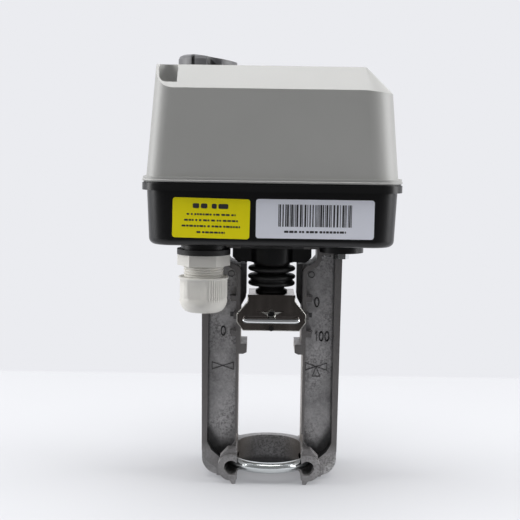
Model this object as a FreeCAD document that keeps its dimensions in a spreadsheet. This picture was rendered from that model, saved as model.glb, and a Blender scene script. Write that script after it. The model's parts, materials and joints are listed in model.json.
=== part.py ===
import FreeCAD, Part
import math
import os

import Sketcher
from FreeCAD import Placement, Rotation, Vector

# Motorised actuator head for a 20 mm stroke heating or cooling valve.
# Origin: the axis of the collar bore, on the collar's lower face.
# X runs to the right, -Y is the front, +Z is up. All sizes are in millimetres.
# The stem is drawn halfway through its stroke.

SIZES = {
    # collar, clamp arms and tips
    "bore_radius": 17.5,
    "collar_radius": 22.5,
    "collar_height": 17.0,
    "slot_front": 40.0,
    "bolt_offset": 20.5,
    "bolt_level": 8.7,
    "bolt_hole_radius": 3.8,
    "bend_room_radius": 3.5,
    "arm_radius": 7.2,
    "arm_front": 21.5,
    "arm_rear": 24.0,
    "tip_width": 4.0,
    "tip_front": 22.5,
    "tip_depth": 5.0,
    "tip_height": 5.0,
    # yoke legs and plate
    "leg_outer": 37.8,
    "leg_outer_low": 36.7,
    "leg_inner": 16.4,
    "leg_inner_low": 17.4,
    "leg_bottom": 1.6,
    "leg_corner": 9.5,
    "leg_half_depth": 12.0,
    "web_half": 4.0,
    "lug_inner": 13.0,
    "lug_low": 69.2,
    "lug_high": 74.7,
    "shoulder_level": 114.5,
    "window_inner": 24.3,
    "recess_outer": 34.0,
    "recess_inner": 18.9,
    "recess_low": 11.6,
    "recess_top": 123.5,
    "corner_step": 2.5,
    "guard_inner": 13.6,
    "guard_low": 101.2,
    "guard_high": 117.5,
    "plate_low": 126.6,
    "plate_half_depth": 12.0,
    "mark_reach": 3.0,
    "mark_height": 3.0,
    "mark_high": 100.9,
    "mark_step": 9.6,
    "yoke_screw_span": 29.5,
    "yoke_screw_depth": 7.5,
    # clamp bolt
    "wire_radius": 2.95,
    "wire_bend_level": -1.0,
    "wire_end": 33.0,
    "nut_flats": 10.0,
    "nut_height": 5.0,
    "nut_bore": 3.02,
    # base housing
    "base_low": 130.6,
    "base_left": -64.0,
    "base_right": 62.5,
    "base_front": -44.8,
    "base_rear": 54.8,
    "base_body_height": 28.2,
    "base_taper": 2.4,
    "base_corner": 12.0,
    "base_floor": 3.5,
    "base_wall": 2.8,
    "base_edge": 3.4,
    "rim_low": 158.8,
    "rim_high": 162.4,
    "rim_left": -67.5,
    "rim_right": 66.0,
    "rim_front": -48.5,
    "rim_rear": 58.5,
    "rim_corner": 13.0,
    "gasket_thick": 0.8,
    "gasket_inset": 0.8,
    "cover_boss_radius": 4.5,
    # cover
    "flange_left": -67.2,
    "flange_right": 65.7,
    "flange_front": -48.2,
    "flange_rear": 58.2,
    "flange_height": 2.4,
    "cover_left": -65.3,
    "cover_right": 64.0,
    "cover_front": -47.0,
    "cover_rear": 57.0,
    "cover_top": 222.6,
    "cover_taper": -4.5,
    "cover_corner": 14.0,
    "cover_corner_left": 10.0,
    "cover_wall": 2.5,
    "facet_level": 210.5,
    "facet_front": -43.5,
    "facet_foot": 2.0,
    "facet_far": 80.0,
    "facet_right": 59.2,
    "facet_width": 12.4,
    "screw_left": -54.5,
    "screw_front": -33.6,
    "screw_rear": 46.5,
    "screw_right": 55.5,
    "screw_side": -16.0,
    "pocket_radius": 5.0,
    "pocket_floor": 206.0,
    "pocket_mouth": 213.4,
    "pocket_round": 4.0,
    "side_pocket_floor": 208.0,
    "pocket_base": 4.0,
    "long_screw_radius": 2.0,
    "long_screw_tip": 142.0,
    # knob and its shaft
    "knob_across": -35.944,
    "knob_along": -2.0,
    "knob_radius": 15.7,
    "knob_low": 219.5,
    "knob_high": 229.0,
    "flute_radius": 5.0,
    "flute_offset": 18.0,
    "well_radius": 16.8,
    "well_floor": 213.5,
    "well_base": 3.0,
    "sleeve_low": 206.0,
    "sleeve_radius": 6.0,
    "shaft_radius": 3.0,
    "shaft_low": 150.5,
    "washer_thick": 0.6,
    "cone_rise": 5.0,
    "cone_radius": 5.0,
    # cable gland and plug
    "gland_across": -36.0,
    "gland_along": -27.0,
    "gland_hole": 10.2,
    "gland_boss_radius": 12.0,
    "gland_boss_low": 127.8,
    "gland_ring_radius": 14.0,
    "gland_ring_low": 125.0,
    "gland_hex_low": 119.0,
    "gland_flats": 24.0,
    "gland_thread": 10.5,
    "gland_thread_low": 104.0,
    "gland_thread_top": 138.0,
    "gland_bore": 6.0,
    "seal_radius": 8.0,
    "seal_bore": 5.0,
    "seal_low": 97.5,
    "seal_high": 111.5,
    "gland_nut_radius": 13.25,
    "gland_nut_high": 113.3,
    "gland_nut_low": 94.6,
    "gland_nut_waist": 101.0,
    "gland_nut_mouth": 8.6,
    "locknut_flats": 25.0,
    "locknut_height": 2.8,
    "plug_across": 36.0,
    "plug_radius": 11.5,
    "plug_low": 127.0,
    "plug_stud": 5.9,
    "plug_flats": 7.0,
    "plug_head": 3.5,
    # bellows, clamp and guide bush
    "bellows_top": 120.0,
    "bellows_foot": 102.0,
    "bellows_lobe": 12.9,
    "bellows_waist": 7.7,
    "bellows_valley": 11.4,
    "bellows_neck": 6.9,
    "bellows_bore": 5.2,
    "clamp_ring_radius": 12.25,
    "clamp_ring_low": 118.6,
    "clamp_ring_bore": 10.1,
    "ear_half_width": 21.4,
    "ear_low": 118.8,
    "ear_half_depth": 5.0,
    "ear_screw": 16.0,
    "bush_radius": 8.9,
    "bush_flange": 11.0,
    # stem parts
    "screw_radius": 4.0,
    "screw_low": 93.9,
    "screw_high": 192.0,
    "bracket_front": -15.0,
    "sheet_thick": 1.6,
    "bracket_top": 102.0,
    "bracket_top_half": 12.7,
    "bracket_shoulder": 98.5,
    "bracket_wide": 91.5,
    "bracket_wide_half": 18.6,
    "bracket_chamfer": 87.0,
    "bracket_low": 82.5,
    "bracket_low_half": 15.2,
    "bracket_flange_half": 12.4,
    "bracket_rear": 12.0,
    "shelf_half": 11.5,
    "shelf_top": 87.2,
    "window_half": 9.5,
    "window_high": 88.9,
    "button_slot_half": 5.0,
    "clip_half": 14.3,
    "clip_tongue_half": 8.5,
    "clip_front": -20.5,
    "clip_thick": 1.4,
    "clip_bar": 2.4,
    "clip_rear": 6.0,
    "clip_fork_half": 3.2,
    "stem_nut_flats": 13.0,
    "pin_level": 84.0,
    "pin_radius": 1.4,
    "sight_level": 91.2,
    "sight_radius": 1.9,
    # gear train
    "wheel_teeth": 46,
    "pinion_teeth": 15,
    "manual_teeth": 26,
    "coarse_module": 1.0,
    "fine_module": 0.8,
    "pressure_angle": 25.0,
    "flank_play": 0.1,
    "second_across": 24.984,
    "second_along": -17.494,
    "first_across": 37.184,
    "first_along": 3.637,
    "motor_across": 30.869,
    "motor_along": 27.206,
    "lower_plate_low": 137.0,
    "upper_plate_low": 159.0,
    "gear_plate_thick": 2.0,
    "coarse_low": 141.0,
    "coarse_height": 6.0,
    "middle_low": 149.0,
    "fine_height": 3.0,
    "upper_low": 154.0,
    "hub_gap": 0.3,
    "drive_hub_radius": 9.0,
    "journal_radius": 8.0,
    "bearing_radius": 11.0,
    "running_gap": 0.05,
    "axle_radius": 2.0,
    "stub_radius": 3.0,
    "manual_hub_radius": 7.5,
    "manual_hub_high": 153.0,
    "pillar_radius": 3.0,
    # motor
    "can_radius": 24.0,
    "can_height": 24.0,
    "can_wall": 2.0,
    "can_cavity": 17.0,
    "rotor_radius": 16.0,
    "motor_shaft_radius": 1.5,
    "ear_reach": 27.2,
    # guide and switches
    "rod_along": 24.0,
    "rod_radius": 2.5,
    "rod_high": 204.0,
    "arm_low": 175.0,
    "arm_height": 6.0,
    "switch_front": 30.2,
    "switch_depth": 6.5,
    # circuit board
    "board_left": -50.0,
    "board_right": -14.0,
    "board_front": -34.0,
    "board_rear": 46.0,
    "board_low": 168.0,
    "board_thick": 1.6,
    # labels
    "label_thick": 0.3,
    "label_low": 135.0,
    "label_height": 20.0,
}

doc = FreeCAD.newDocument("actuator_head")
sheet = doc.addObject("Spreadsheet::Sheet", "sizes")
for row, (alias, number) in enumerate(SIZES.items(), start=1):
    sheet.set(f"A{row}", alias.replace("_", " "))
    sheet.set(f"B{row}", str(number))
    sheet.setAlias(f"B{row}", alias)
doc.recompute()


class Size:
    """A length that knows both its formula in the sheet and its value."""

    def __init__(self, formula, number):
        self.formula = formula
        self.number = number

    def joined(self, other, sign, number):
        return Size(f"({self.formula} {sign} {as_size(other).formula})", number)

    def __add__(self, other):
        return self.joined(other, "+", self.number + as_size(other).number)

    def __sub__(self, other):
        return self.joined(other, "-", self.number - as_size(other).number)

    def __mul__(self, other):
        return self.joined(other, "*", self.number * as_size(other).number)

    def __truediv__(self, other):
        return self.joined(other, "/", self.number / as_size(other).number)

    def __radd__(self, other):
        return as_size(other) + self

    def __rsub__(self, other):
        return as_size(other) - self

    def __rmul__(self, other):
        return as_size(other) * self

    def __neg__(self):
        return as_size(-1) * self


def as_size(amount):
    if isinstance(amount, Size):
        return amount
    return Size(f"({amount})", float(amount))


def of(alias):
    return Size(f"sizes.{alias}", float(sheet.get(alias)))


NODES = {}
OVERCUT = 1.0


def node(label, shape_object):
    """Name a finished sub-part, which is also its file name."""
    shape_object.Label = label
    NODES[label] = shape_object
    return shape_object


def bind(target, prop, amount):
    target.setExpression(prop, as_size(amount).formula)


def put(target, across, along, level):
    bind(target, ".Placement.Base.x", across)
    bind(target, ".Placement.Base.y", along)
    bind(target, ".Placement.Base.z", level)


def turned(target, direction):
    """Point a primitive's own Z axis along X or Y."""
    if direction == "y":
        target.Placement = Placement(Vector(), Rotation(Vector(1, 0, 0), -90))
    if direction == "x":
        target.Placement = Placement(Vector(), Rotation(Vector(0, 1, 0), 90))


def box(name, left, right, front, rear, low, high):
    made = doc.addObject("Part::Box", name)
    bind(made, "Length", as_size(right) - left)
    bind(made, "Width", as_size(rear) - front)
    bind(made, "Height", as_size(high) - low)
    put(made, left, front, low)
    return made


def rod(name, radius, start, length, direction="z"):
    made = doc.addObject("Part::Cylinder", name)
    turned(made, direction)
    bind(made, "Radius", radius)
    bind(made, "Height", length)
    put(made, *start)
    return made


def cone(name, lower_radius, upper_radius, start, length):
    made = doc.addObject("Part::Cone", name)
    bind(made, "Radius1", lower_radius)
    bind(made, "Radius2", upper_radius)
    bind(made, "Height", length)
    put(made, *start)
    return made


def hexagon(name, flats, start, length, direction="z"):
    made = doc.addObject("Part::Prism", name)
    made.Polygon = 6
    turned(made, direction)
    bind(made, "Circumradius", as_size(flats) / 1.7320508)
    bind(made, "Height", length)
    put(made, *start)
    return made


def fuse(name, pieces):
    made = doc.addObject("Part::MultiFuse", name)
    made.Shapes = pieces
    made.Refine = True
    return made


def cut(name, base, tools):
    made = doc.addObject("Part::Cut", name)
    made.Base = base
    made.Tool = tools[0] if len(tools) == 1 else fuse(name + "_tools", tools)
    made.Refine = True
    return made


def common(name, first, second):
    made = doc.addObject("Part::Common", name)
    made.Base = first
    made.Tool = second
    return made


def tube(name, outer, inner, start, length, direction="z"):
    body = rod(name + "_outside", outer, start, length, direction)
    across, along, level = start
    if direction == "z":
        inner_start = (across, along, as_size(level) - OVERCUT)
    else:
        inner_start = (across, as_size(along) - OVERCUT, level)
    hole = rod(name + "_bore", inner, inner_start, as_size(length) + 2 * OVERCUT, direction)
    return cut(name, body, [hole])


def new_body(name):
    return doc.addObject("PartDesign::Body", name)


def sketch_on(body, name, role, offset):
    made = body.newObject("Sketcher::SketchObject", name)
    plane = [item for item in body.Origin.OriginFeatures if item.Role == role][0]
    made.AttachmentSupport = [(plane, "")]
    made.MapMode = "FlatFace"
    bind(made, ".AttachmentOffset.Base.z", offset)
    return made


def closed_outline(sketch, points):
    """A closed outline whose every corner is held by two named distances."""
    corners = [(as_size(across), as_size(up)) for across, up in points]
    places = [Vector(across.number, up.number, 0) for across, up in corners]
    count = len(places)
    lines = [Part.LineSegment(places[k], places[(k + 1) % count]) for k in range(count)]
    sketch.addGeometry(lines)
    ties = [Sketcher.Constraint("Coincident", k, 2, (k + 1) % count, 1) for k in range(count)]
    for k, place in enumerate(places):
        ties.append(Sketcher.Constraint("DistanceX", -1, 1, k, 1, place.x))
        ties.append(Sketcher.Constraint("DistanceY", -1, 1, k, 1, place.y))
    sketch.addConstraint(ties)
    for k, (across, up) in enumerate(corners):
        sketch.setExpression(f"Constraints[{count + 2 * k}]", across.formula)
        sketch.setExpression(f"Constraints[{count + 2 * k + 1}]", up.formula)


def round_edges(body, name, feature, chosen, radius):
    doc.recompute()
    names = [f"Edge{k}" for k, edge in enumerate(feature.Shape.Edges, start=1) if chosen(edge)]
    made = body.newObject("PartDesign::Fillet", name)
    made.Base = (feature, names)
    bind(made, "Radius", radius)
    return made


def flat_prism(name, points, low, high, corners=None, taper=None):
    """An outline in plan, padded upwards, with its upright edges rounded.

    A pair of corner radii rounds the left and the right edges differently.
    """
    body = new_body(name)
    sketch = sketch_on(body, name + "_plan", "XY_Plane", low)
    closed_outline(sketch, points)
    pad = body.newObject("PartDesign::Pad", name + "_pad")
    pad.Profile = sketch
    bind(pad, "Length", as_size(high) - low)
    if taper is not None:
        bind(pad, "TaperAngle", taper)
    if corners is None:
        return body
    upright = 0.9 * (as_size(high) - low).number
    if not isinstance(corners, tuple):
        round_edges(body, name + "_corners", pad, lambda edge: edge.BoundBox.ZLength > upright, corners)
        return body
    first = pad
    for side, radius in zip((-1, 1), corners):

        def on_side(edge):
            return edge.BoundBox.ZLength > upright and side * edge.BoundBox.Center.x > 0

        first = round_edges(body, f"{name}_corners_{side + 1}", first, on_side, radius)
    return body


def front_prism(name, points, front, rear, rounded=(), radius=1.0):
    """An outline seen from the front (X, Z), padded between two depths."""
    body = new_body(name)
    sketch = sketch_on(body, name + "_front", "XZ_Plane", -as_size(rear))
    closed_outline(sketch, points)
    pad = body.newObject("PartDesign::Pad", name + "_pad")
    pad.Profile = sketch
    bind(pad, "Length", as_size(rear) - front)
    if rounded:
        spots = [(as_size(points[k][0]).number, as_size(points[k][1]).number) for k in rounded]

        def at_spot(edge):
            middle = edge.BoundBox.Center
            upright = edge.BoundBox.XLength + edge.BoundBox.ZLength < 0.01
            return upright and any(math.hypot(middle.x - x, middle.z - z) < 0.05 for x, z in spots)

        round_edges(body, name + "_corners", pad, at_spot, radius)
    return body


def side_prism(name, points, left, right):
    """An outline seen from the side (Y, Z), padded between two X positions."""
    body = new_body(name)
    sketch = sketch_on(body, name + "_side", "YZ_Plane", left)
    closed_outline(sketch, points)
    pad = body.newObject("PartDesign::Pad", name + "_pad")
    pad.Profile = sketch
    bind(pad, "Length", as_size(right) - left)
    return body


def turning(name, points, across=0.0, along=0.0):
    """A half outline of (radius, height) points, revolved about an upright axis."""
    body = new_body(name)
    sketch = sketch_on(body, name + "_half", "XZ_Plane", 0)
    closed_outline(sketch, points)
    spin = body.newObject("PartDesign::Revolution", name + "_turn")
    spin.Profile = sketch
    spin.ReferenceAxis = (sketch, ["V_Axis"])
    spin.Angle = 360
    put(body, across, along, 0)
    return body


def plan_of(part, inset=0.0):
    """The plan rectangle of a named part, drawn in by an inset on every side."""
    left, right = of(f"{part}_left") + inset, of(f"{part}_right") - inset
    front, rear = of(f"{part}_front") + inset, of(f"{part}_rear") - inset
    return [(left, front), (right, front), (right, rear), (left, rear)]


COVER_SCREWS = [
    (of("screw_left"), of("screw_front"), of("pocket_floor")),
    (of("screw_left"), of("screw_rear"), of("pocket_floor")),
    (of("screw_right"), of("screw_side"), of("side_pocket_floor")),
]
PILLARS = [(-6.5, -31.0), (45.0, -31.0), (52.0, 46.0), (-46.0, 36.0)]
YOKE_SCREWS = [(side, depth) for side in (-1, 1) for depth in (-1, 1)]


def mirrored(side, points):
    return [(side * as_size(across), level) for across, level in points]


def leg_outline(side):
    """One leg seen from the front, with its guide lug and its sloping shoulder."""
    return mirrored(side, [
        (of("leg_outer"), of("base_low")),
        (of("leg_outer_low"), of("leg_bottom")),
        (of("leg_inner_low"), of("leg_bottom")),
        (of("leg_inner_low"), of("lug_low")),
        (of("lug_inner") + 1.9, of("lug_low")),
        (of("lug_inner"), of("lug_low") + 0.9),
        (of("lug_inner"), of("lug_high")),
        (of("leg_inner"), of("lug_high")),
        (of("leg_inner"), of("shoulder_level")),
        (of("leg_inner") + 1.8, of("shoulder_level") + 2.6),
        (of("window_inner") - 1.9, of("shoulder_level") + 4.7),
        (of("window_inner"), of("shoulder_level") + 6.9),
        (of("window_inner"), of("base_low")),
    ])


def recess_outline(side):
    """The hollow in a leg's face; three scale marks stand out from its inner wall."""
    outer, inner, low = of("recess_outer"), of("recess_inner"), of("recess_low")
    points = [
        (of("window_inner") + 2.5, of("recess_top")),
        (outer, of("recess_top")),
        (outer, low + 8.4),
        (outer - 2.5, low + 3.9),
        (outer - 7.2, low),
        (inner + 2.6, low + 4.9),
        (inner, low + 8.8),
    ]
    for mark, share in ((2, 1.0), (1, 0.5), (0, 1.0)):
        high = of("mark_high") - mark * of("mark_step")
        reach = inner + of("mark_reach") * share
        foot = high - of("mark_height")
        points += [(inner, foot), (reach, foot), (reach, high), (inner, high)]
    points += [
        (inner, of("shoulder_level") - 1.5),
        (inner + 1.1, of("shoulder_level") + 0.3),
        (of("window_inner"), of("shoulder_level") + 2.7),
        (of("window_inner") + 2.5, of("shoulder_level") + 6.3),
    ]
    return mirrored(side, points)


def arm_pieces(side, word):
    """The round arm for the U-bolt, its angular back and the tip below it."""
    start = (side * of("bolt_offset"), -of("arm_front"), of("bolt_level"))
    arm = rod(f"arm_{word}", of("arm_radius"), start, of("arm_front") + of("arm_rear"), "y")
    middle, level, radius = of("bolt_offset"), of("bolt_level"), of("arm_radius")
    back = mirrored(side, [
        (middle - 6.2, level),
        (middle - 4.0, level + radius + 2.1),
        (middle + 1.8, level + radius + 2.7),
        (middle + 6.0, level + 5.5),
        (middle + 6.4, level),
    ])
    bore, height = of("bore_radius"), of("tip_height")
    tip = mirrored(side, [
        (bore, height),
        (bore + 0.6, 0),
        (bore + 2.4, 0),
        (bore + of("tip_width"), height * 0.5),
        (bore + of("tip_width") + 0.8, height),
    ])
    tip_front = -of("tip_front")
    return [
        arm,
        front_prism(f"arm_back_{word}", back, -of("arm_front") + 1.5, 0),
        front_prism(f"tip_{word}", tip, tip_front, tip_front + of("tip_depth")),
    ]


def bolt_clearance(word, bend_level):
    """Room for the U-bolt's bend at one stage of its travel."""
    room = doc.addObject("Part::Torus", f"bend_room_{word}")
    bind(room, "Radius1", of("bolt_offset"))
    bind(room, "Radius2", of("bend_room_radius"))
    room.Angle3 = 180
    room.Placement = Placement(Vector(), Rotation(Vector(0, 0, 1), 180))
    put(room, 0, bend_level, of("bolt_level"))
    return room


def leg_tools(side, word):
    """Everything cut away from one leg."""
    half, web = of("leg_half_depth"), of("web_half")
    recess = recess_outline(side)
    level, outer = of("leg_bottom"), of("leg_outer_low")
    step = mirrored(side, [
        (outer + 0.2, level + 14.6),
        (outer - 1.0, level + 10.2),
        (outer - 3.2, level + 7.5),
        (outer - 8.1, level + 4.0),
        (outer - 8.1, level - 2.0),
        (outer + 3.0, level - 2.0),
        (outer + 3.0, level + 14.6),
    ])
    hole_start = (side * of("bolt_offset"), -of("arm_front") - 2 * OVERCUT, of("bolt_level"))
    hole_length = of("arm_front") + of("arm_rear") + 4 * OVERCUT
    ear_spot = (side * of("ear_screw"), 0, of("plate_low") - 1)
    return [
        front_prism(f"recess_{word}_front", recess, -half - OVERCUT, -web),
        front_prism(f"recess_{word}_rear", recess, web, half + OVERCUT),
        front_prism(f"corner_step_{word}", step, -half - OVERCUT, -half + of("corner_step")),
        rod(f"bolt_hole_{word}", of("bolt_hole_radius"), hole_start, hole_length, "y"),
        rod(f"ear_hole_{word}", 1.55, ear_spot, 3.4),
    ]


def make_yoke():
    pieces = []
    tools = []
    half, web = of("leg_half_depth"), of("web_half")
    for side, word in ((-1, "left"), (1, "right")):
        pieces.append(front_prism(f"leg_{word}", leg_outline(side), -half, half, (1,), of("leg_corner")))
        guard = [side * of("guard_inner"), side * of("window_inner")]
        guard.sort(key=lambda amount: amount.number)
        pieces.append(box(f"guard_{word}", *guard, -web, web, of("guard_low"), of("guard_high")))
        pieces += arm_pieces(side, word)
        tools += leg_tools(side, word)
    outer, plate_half = of("leg_outer"), of("plate_half_depth")
    pieces.append(box("plate", -outer, outer, -plate_half, plate_half, of("plate_low"), of("base_low")))
    collar_top = of("collar_height")
    pieces.append(rod("collar", of("collar_radius"), (0, 0, 0), collar_top))
    for room, slot_low, slot_high in ((0.0, -OVERCUT, collar_top), (0.6, collar_top, collar_top + 8)):
        reach = of("bore_radius") + room
        tools.append(rod("bore", reach, (0, 0, slot_low), slot_high - slot_low))
        tools.append(box("slot", -reach, reach, -of("slot_front"), 0, slot_low, slot_high))
    tools.append(rod("bush_hole", of("bush_radius") + 0.05, (0, 0, of("plate_low") - OVERCUT), 7))
    for word, travel in (("slack", 0.0), ("half", 2.0), ("tight", 4.0)):
        tools.append(bolt_clearance(word, of("wire_bend_level") + travel))
    for side, depth in YOKE_SCREWS:
        spot = (side * of("yoke_screw_span"), depth * of("yoke_screw_depth"), of("recess_top") - 2)
        tools.append(rod("fixing_hole", 2.6, spot, 12))
    node("yoke", cut("yoke_casting", fuse("yoke_solid", pieces), tools))


def make_clamp_bolt():
    bend = doc.addObject("Part::Torus", "bend")
    bind(bend, "Radius1", of("bolt_offset"))
    bind(bend, "Radius2", of("wire_radius"))
    bend.Angle3 = 180
    bend.Placement = Placement(Vector(), Rotation(Vector(0, 0, 1), 180))
    put(bend, 0, of("wire_bend_level"), of("bolt_level"))
    pieces = [bend]
    for side in (-1, 1):
        start = (side * of("bolt_offset"), of("wire_bend_level"), of("bolt_level"))
        length = of("wire_end") - of("wire_bend_level")
        pieces.append(rod("bolt_leg", of("wire_radius"), start, length, "y"))
    node("u_bolt", fuse("clamp_wire", pieces))
    for side, word in ((-1, "left"), (1, "right")):
        start = (side * of("bolt_offset"), of("arm_rear"), of("bolt_level"))
        solid = hexagon(f"nut_{word}_solid", of("nut_flats"), start, of("nut_height"), "y")
        hole_start = (start[0], start[1] - OVERCUT, start[2])
        hole = rod(f"nut_{word}_bore", of("nut_bore"), hole_start, of("nut_height") + 2 * OVERCUT, "y")
        node(f"clamp_nut_{word}", cut(f"nut_{word}", solid, [hole]))


def make_base():
    floor_top = of("base_low") + of("base_floor")
    body = flat_prism(
        "base_body",
        plan_of("base"),
        of("base_low"),
        of("rim_low"),
        of("base_corner"),
        of("base_taper"),
    )
    low = of("base_low").number
    corners = body.Group[-1]

    def at_bottom(edge):
        return edge.BoundBox.ZMax < low + 0.01

    round_edges(body, "base_lower_edge", corners, at_bottom, of("base_edge"))
    rim = flat_prism(
        "base_rim",
        plan_of("rim"),
        of("rim_low"),
        of("rim_high"),
        of("rim_corner"),
    )
    wall = of("base_wall")
    cavity = flat_prism(
        "base_cavity",
        plan_of("base", wall),
        floor_top,
        of("rim_high") + OVERCUT,
        of("base_corner") - wall,
        of("base_taper"),
    )
    shell = cut("base_shell", fuse("base_solid", [body, rim]), [cavity])
    gland = (of("gland_across"), of("gland_along"))
    plug = (of("plug_across"), of("gland_along"))
    boss_low = of("gland_boss_low")
    boss = rod("gland_boss", of("gland_boss_radius"), (*gland, boss_low), floor_top - boss_low)
    pieces = [shell, boss]
    tools = [
        rod("gland_hole", of("gland_hole"), (*gland, boss_low - OVERCUT), 12),
        rod("plug_hole", of("plug_stud") + 0.1, (*plug, of("base_low") - OVERCUT), 8),
        rod("bush_hole", of("bush_radius") + 0.05, (0, 0, of("base_low") - OVERCUT), 8),
    ]
    for across, along, level in COVER_SCREWS:
        spot = (across, along, floor_top - OVERCUT)
        pieces.append(rod("cover_boss", of("cover_boss_radius"), spot, of("rim_high") - floor_top + OVERCUT))
        hole_low = of("long_screw_tip") - 2
        tools.append(rod("cover_thread", of("long_screw_radius") + 0.3, (across, along, hole_low), 30))
    for across, along in PILLARS:
        spot = (across, along, floor_top - OVERCUT)
        pieces.append(rod("plate_boss", 4.0, spot, of("lower_plate_low") - floor_top + OVERCUT))
    for side, depth in YOKE_SCREWS:
        spot = (side * of("yoke_screw_span"), depth * of("yoke_screw_depth"), of("base_low") - OVERCUT)
        tools.append(rod("fixing_hole", 2.6, spot, 8))
    node("base_housing", cut("base_tray", fuse("base_built", pieces), tools))

    inset = of("gasket_inset")
    gasket = flat_prism(
        "gasket_outer",
        plan_of("rim", inset),
        of("rim_high"),
        of("rim_high") + of("gasket_thick"),
        of("rim_corner") - inset,
    )
    opening = flat_prism(
        "gasket_opening",
        plan_of("base", inset),
        of("rim_high") - OVERCUT,
        of("rim_high") + of("gasket_thick") + OVERCUT,
        of("base_corner") - wall,
    )
    node("base_gasket", cut("gasket", gasket, [opening]))

    screws = []
    for side, depth in YOKE_SCREWS:
        across = side * of("yoke_screw_span")
        along = depth * of("yoke_screw_depth")
        screws.append(rod("yoke_screw_head", 4.2, (across, along, floor_top), 2.5))
        screws.append(rod("yoke_screw_shank", 2.5, (across, along, of("recess_top") - 1), 12))
    node("yoke_screws", fuse("yoke_screw_set", screws))


def facet_crown(name, drop):
    """The room below the sloping front and right facets, which a cone joins."""
    rise, radius = of("cover_top") - of("facet_level"), of("cover_corner")
    slope = of("facet_width") / rise
    foot, far = of("facet_foot"), of("facet_far")
    low = of("facet_level") - drop - foot
    high = low + rise + foot
    front, right = of("facet_front") - slope * foot, of("facet_right") + slope * foot
    reach = slope * (rise + foot)
    across, along = of("facet_right") - radius, of("facet_front") + radius
    front_outline = [(front, low), (front + reach, high), (far, high), (far, low)]
    right_outline = [(-far, low), (right, low), (right - reach, high), (-far, high)]
    corner = radius + slope * foot
    pieces = [
        side_prism(name + "_front_facet", front_outline, -far, across),
        front_prism(name + "_right_facet", right_outline, along, far),
        cone(name + "_corner_facet", corner, corner - reach, (across, along, low), rise + foot),
        box(name + "_below_facets", -far, far, -far, far, of("base_low"), low),
    ]
    return fuse(name + "_crown", pieces)


def pocket_mouth(word, across, along, high):
    """The way in from the outside to a corner screw pocket, with one round corner."""
    half, low = of("pocket_radius") - 0.3, of("pocket_mouth")
    outline = [
        (across - half, low),
        (across + half, low),
        (across + half, high),
        (across - half, high),
    ]
    span = [along - 14, along] if word == "front" else [along, along + 14]
    return front_prism(f"pocket_mouth_{word}", outline, *span, (0,), of("pocket_round"))


def make_cover():
    joint = of("rim_high") + of("gasket_thick")
    flange_top = joint + of("flange_height")
    wall = of("cover_wall")
    flange = flat_prism(
        "cover_flange",
        plan_of("flange"),
        joint,
        flange_top,
        of("rim_corner"),
    )
    hood = flat_prism(
        "cover_hood",
        plan_of("cover"),
        flange_top,
        of("cover_top"),
        (of("cover_corner_left"), of("cover_corner")),
        of("cover_taper"),
    )
    outside = common("cover_outside", hood, facet_crown("outer", 0))
    hollow = flat_prism(
        "cover_hollow",
        plan_of("cover", wall),
        joint - OVERCUT,
        of("cover_top") - wall,
        (of("cover_corner_left") - wall, of("cover_corner") - wall),
        of("cover_taper"),
    )
    inside = common("cover_inside", hollow, facet_crown("inner", wall * 1.41))
    shell = cut("cover_shell", fuse("cover_solid", [outside, flange]), [inside])
    high = of("cover_top") + OVERCUT
    reach = of("pocket_radius") + wall
    lumps = []
    tools = []
    for word, (across, along, floor) in zip(("front", "rear", "side"), COVER_SCREWS):
        low = floor - of("pocket_base")
        outward = 12 if word == "side" else -12
        widths = [across - reach, across + reach]
        if word == "side":
            widths[1] = across + outward
        else:
            widths[0] = across + outward
        depths = [along - reach, along + reach]
        if word == "front":
            depths[0] = along - 14
        if word == "rear":
            depths[1] = along + 14
        lumps.append(box(f"pocket_lump_{word}", *widths, *depths, low, high))
        tools.append(rod(f"pocket_{word}", of("pocket_radius"), (across, along, floor), 30))
        if word != "side":
            tools.append(pocket_mouth(word, across, along, high))
        tools.append(rod(f"screw_hole_{word}", of("long_screw_radius") + 0.1, (across, along, low - 5), 20))
    knob = (of("knob_across"), of("knob_along"))
    well_low = of("well_floor") - of("well_base")
    lumps.append(rod("well_lump", of("well_radius") + wall, (*knob, well_low), 20))
    lumps.append(rod("sleeve_lump", of("sleeve_radius"), (*knob, of("sleeve_low")), 10))
    tools.append(rod("well", of("well_radius"), (*knob, of("well_floor")), 20))
    tools.append(rod("sleeve_bore", of("shaft_radius") + 0.08, (*knob, of("sleeve_low") - OVERCUT), 20))
    lumps_inside = common("cover_lumps", fuse("all_lumps", lumps), outside)
    node("cover", cut("cover_finished", fuse("cover_built", [shell, lumps_inside]), tools))

    screws = []
    for across, along, floor in COVER_SCREWS:
        screws.append(rod("screw_head", 3.8, (across, along, floor), 3.0))
        tip = of("long_screw_tip")
        screws.append(rod("screw_shank", of("long_screw_radius"), (across, along, tip), floor - tip + 1))
    slots = [
        box("driver_slot", across - 3, across + 3, along - 0.5, along + 0.5, floor + 1.8, floor + 4)
        for across, along, floor in COVER_SCREWS
    ]
    node("cover_screws", cut("cover_screw_set", fuse("cover_screw_solids", screws), slots))


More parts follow.
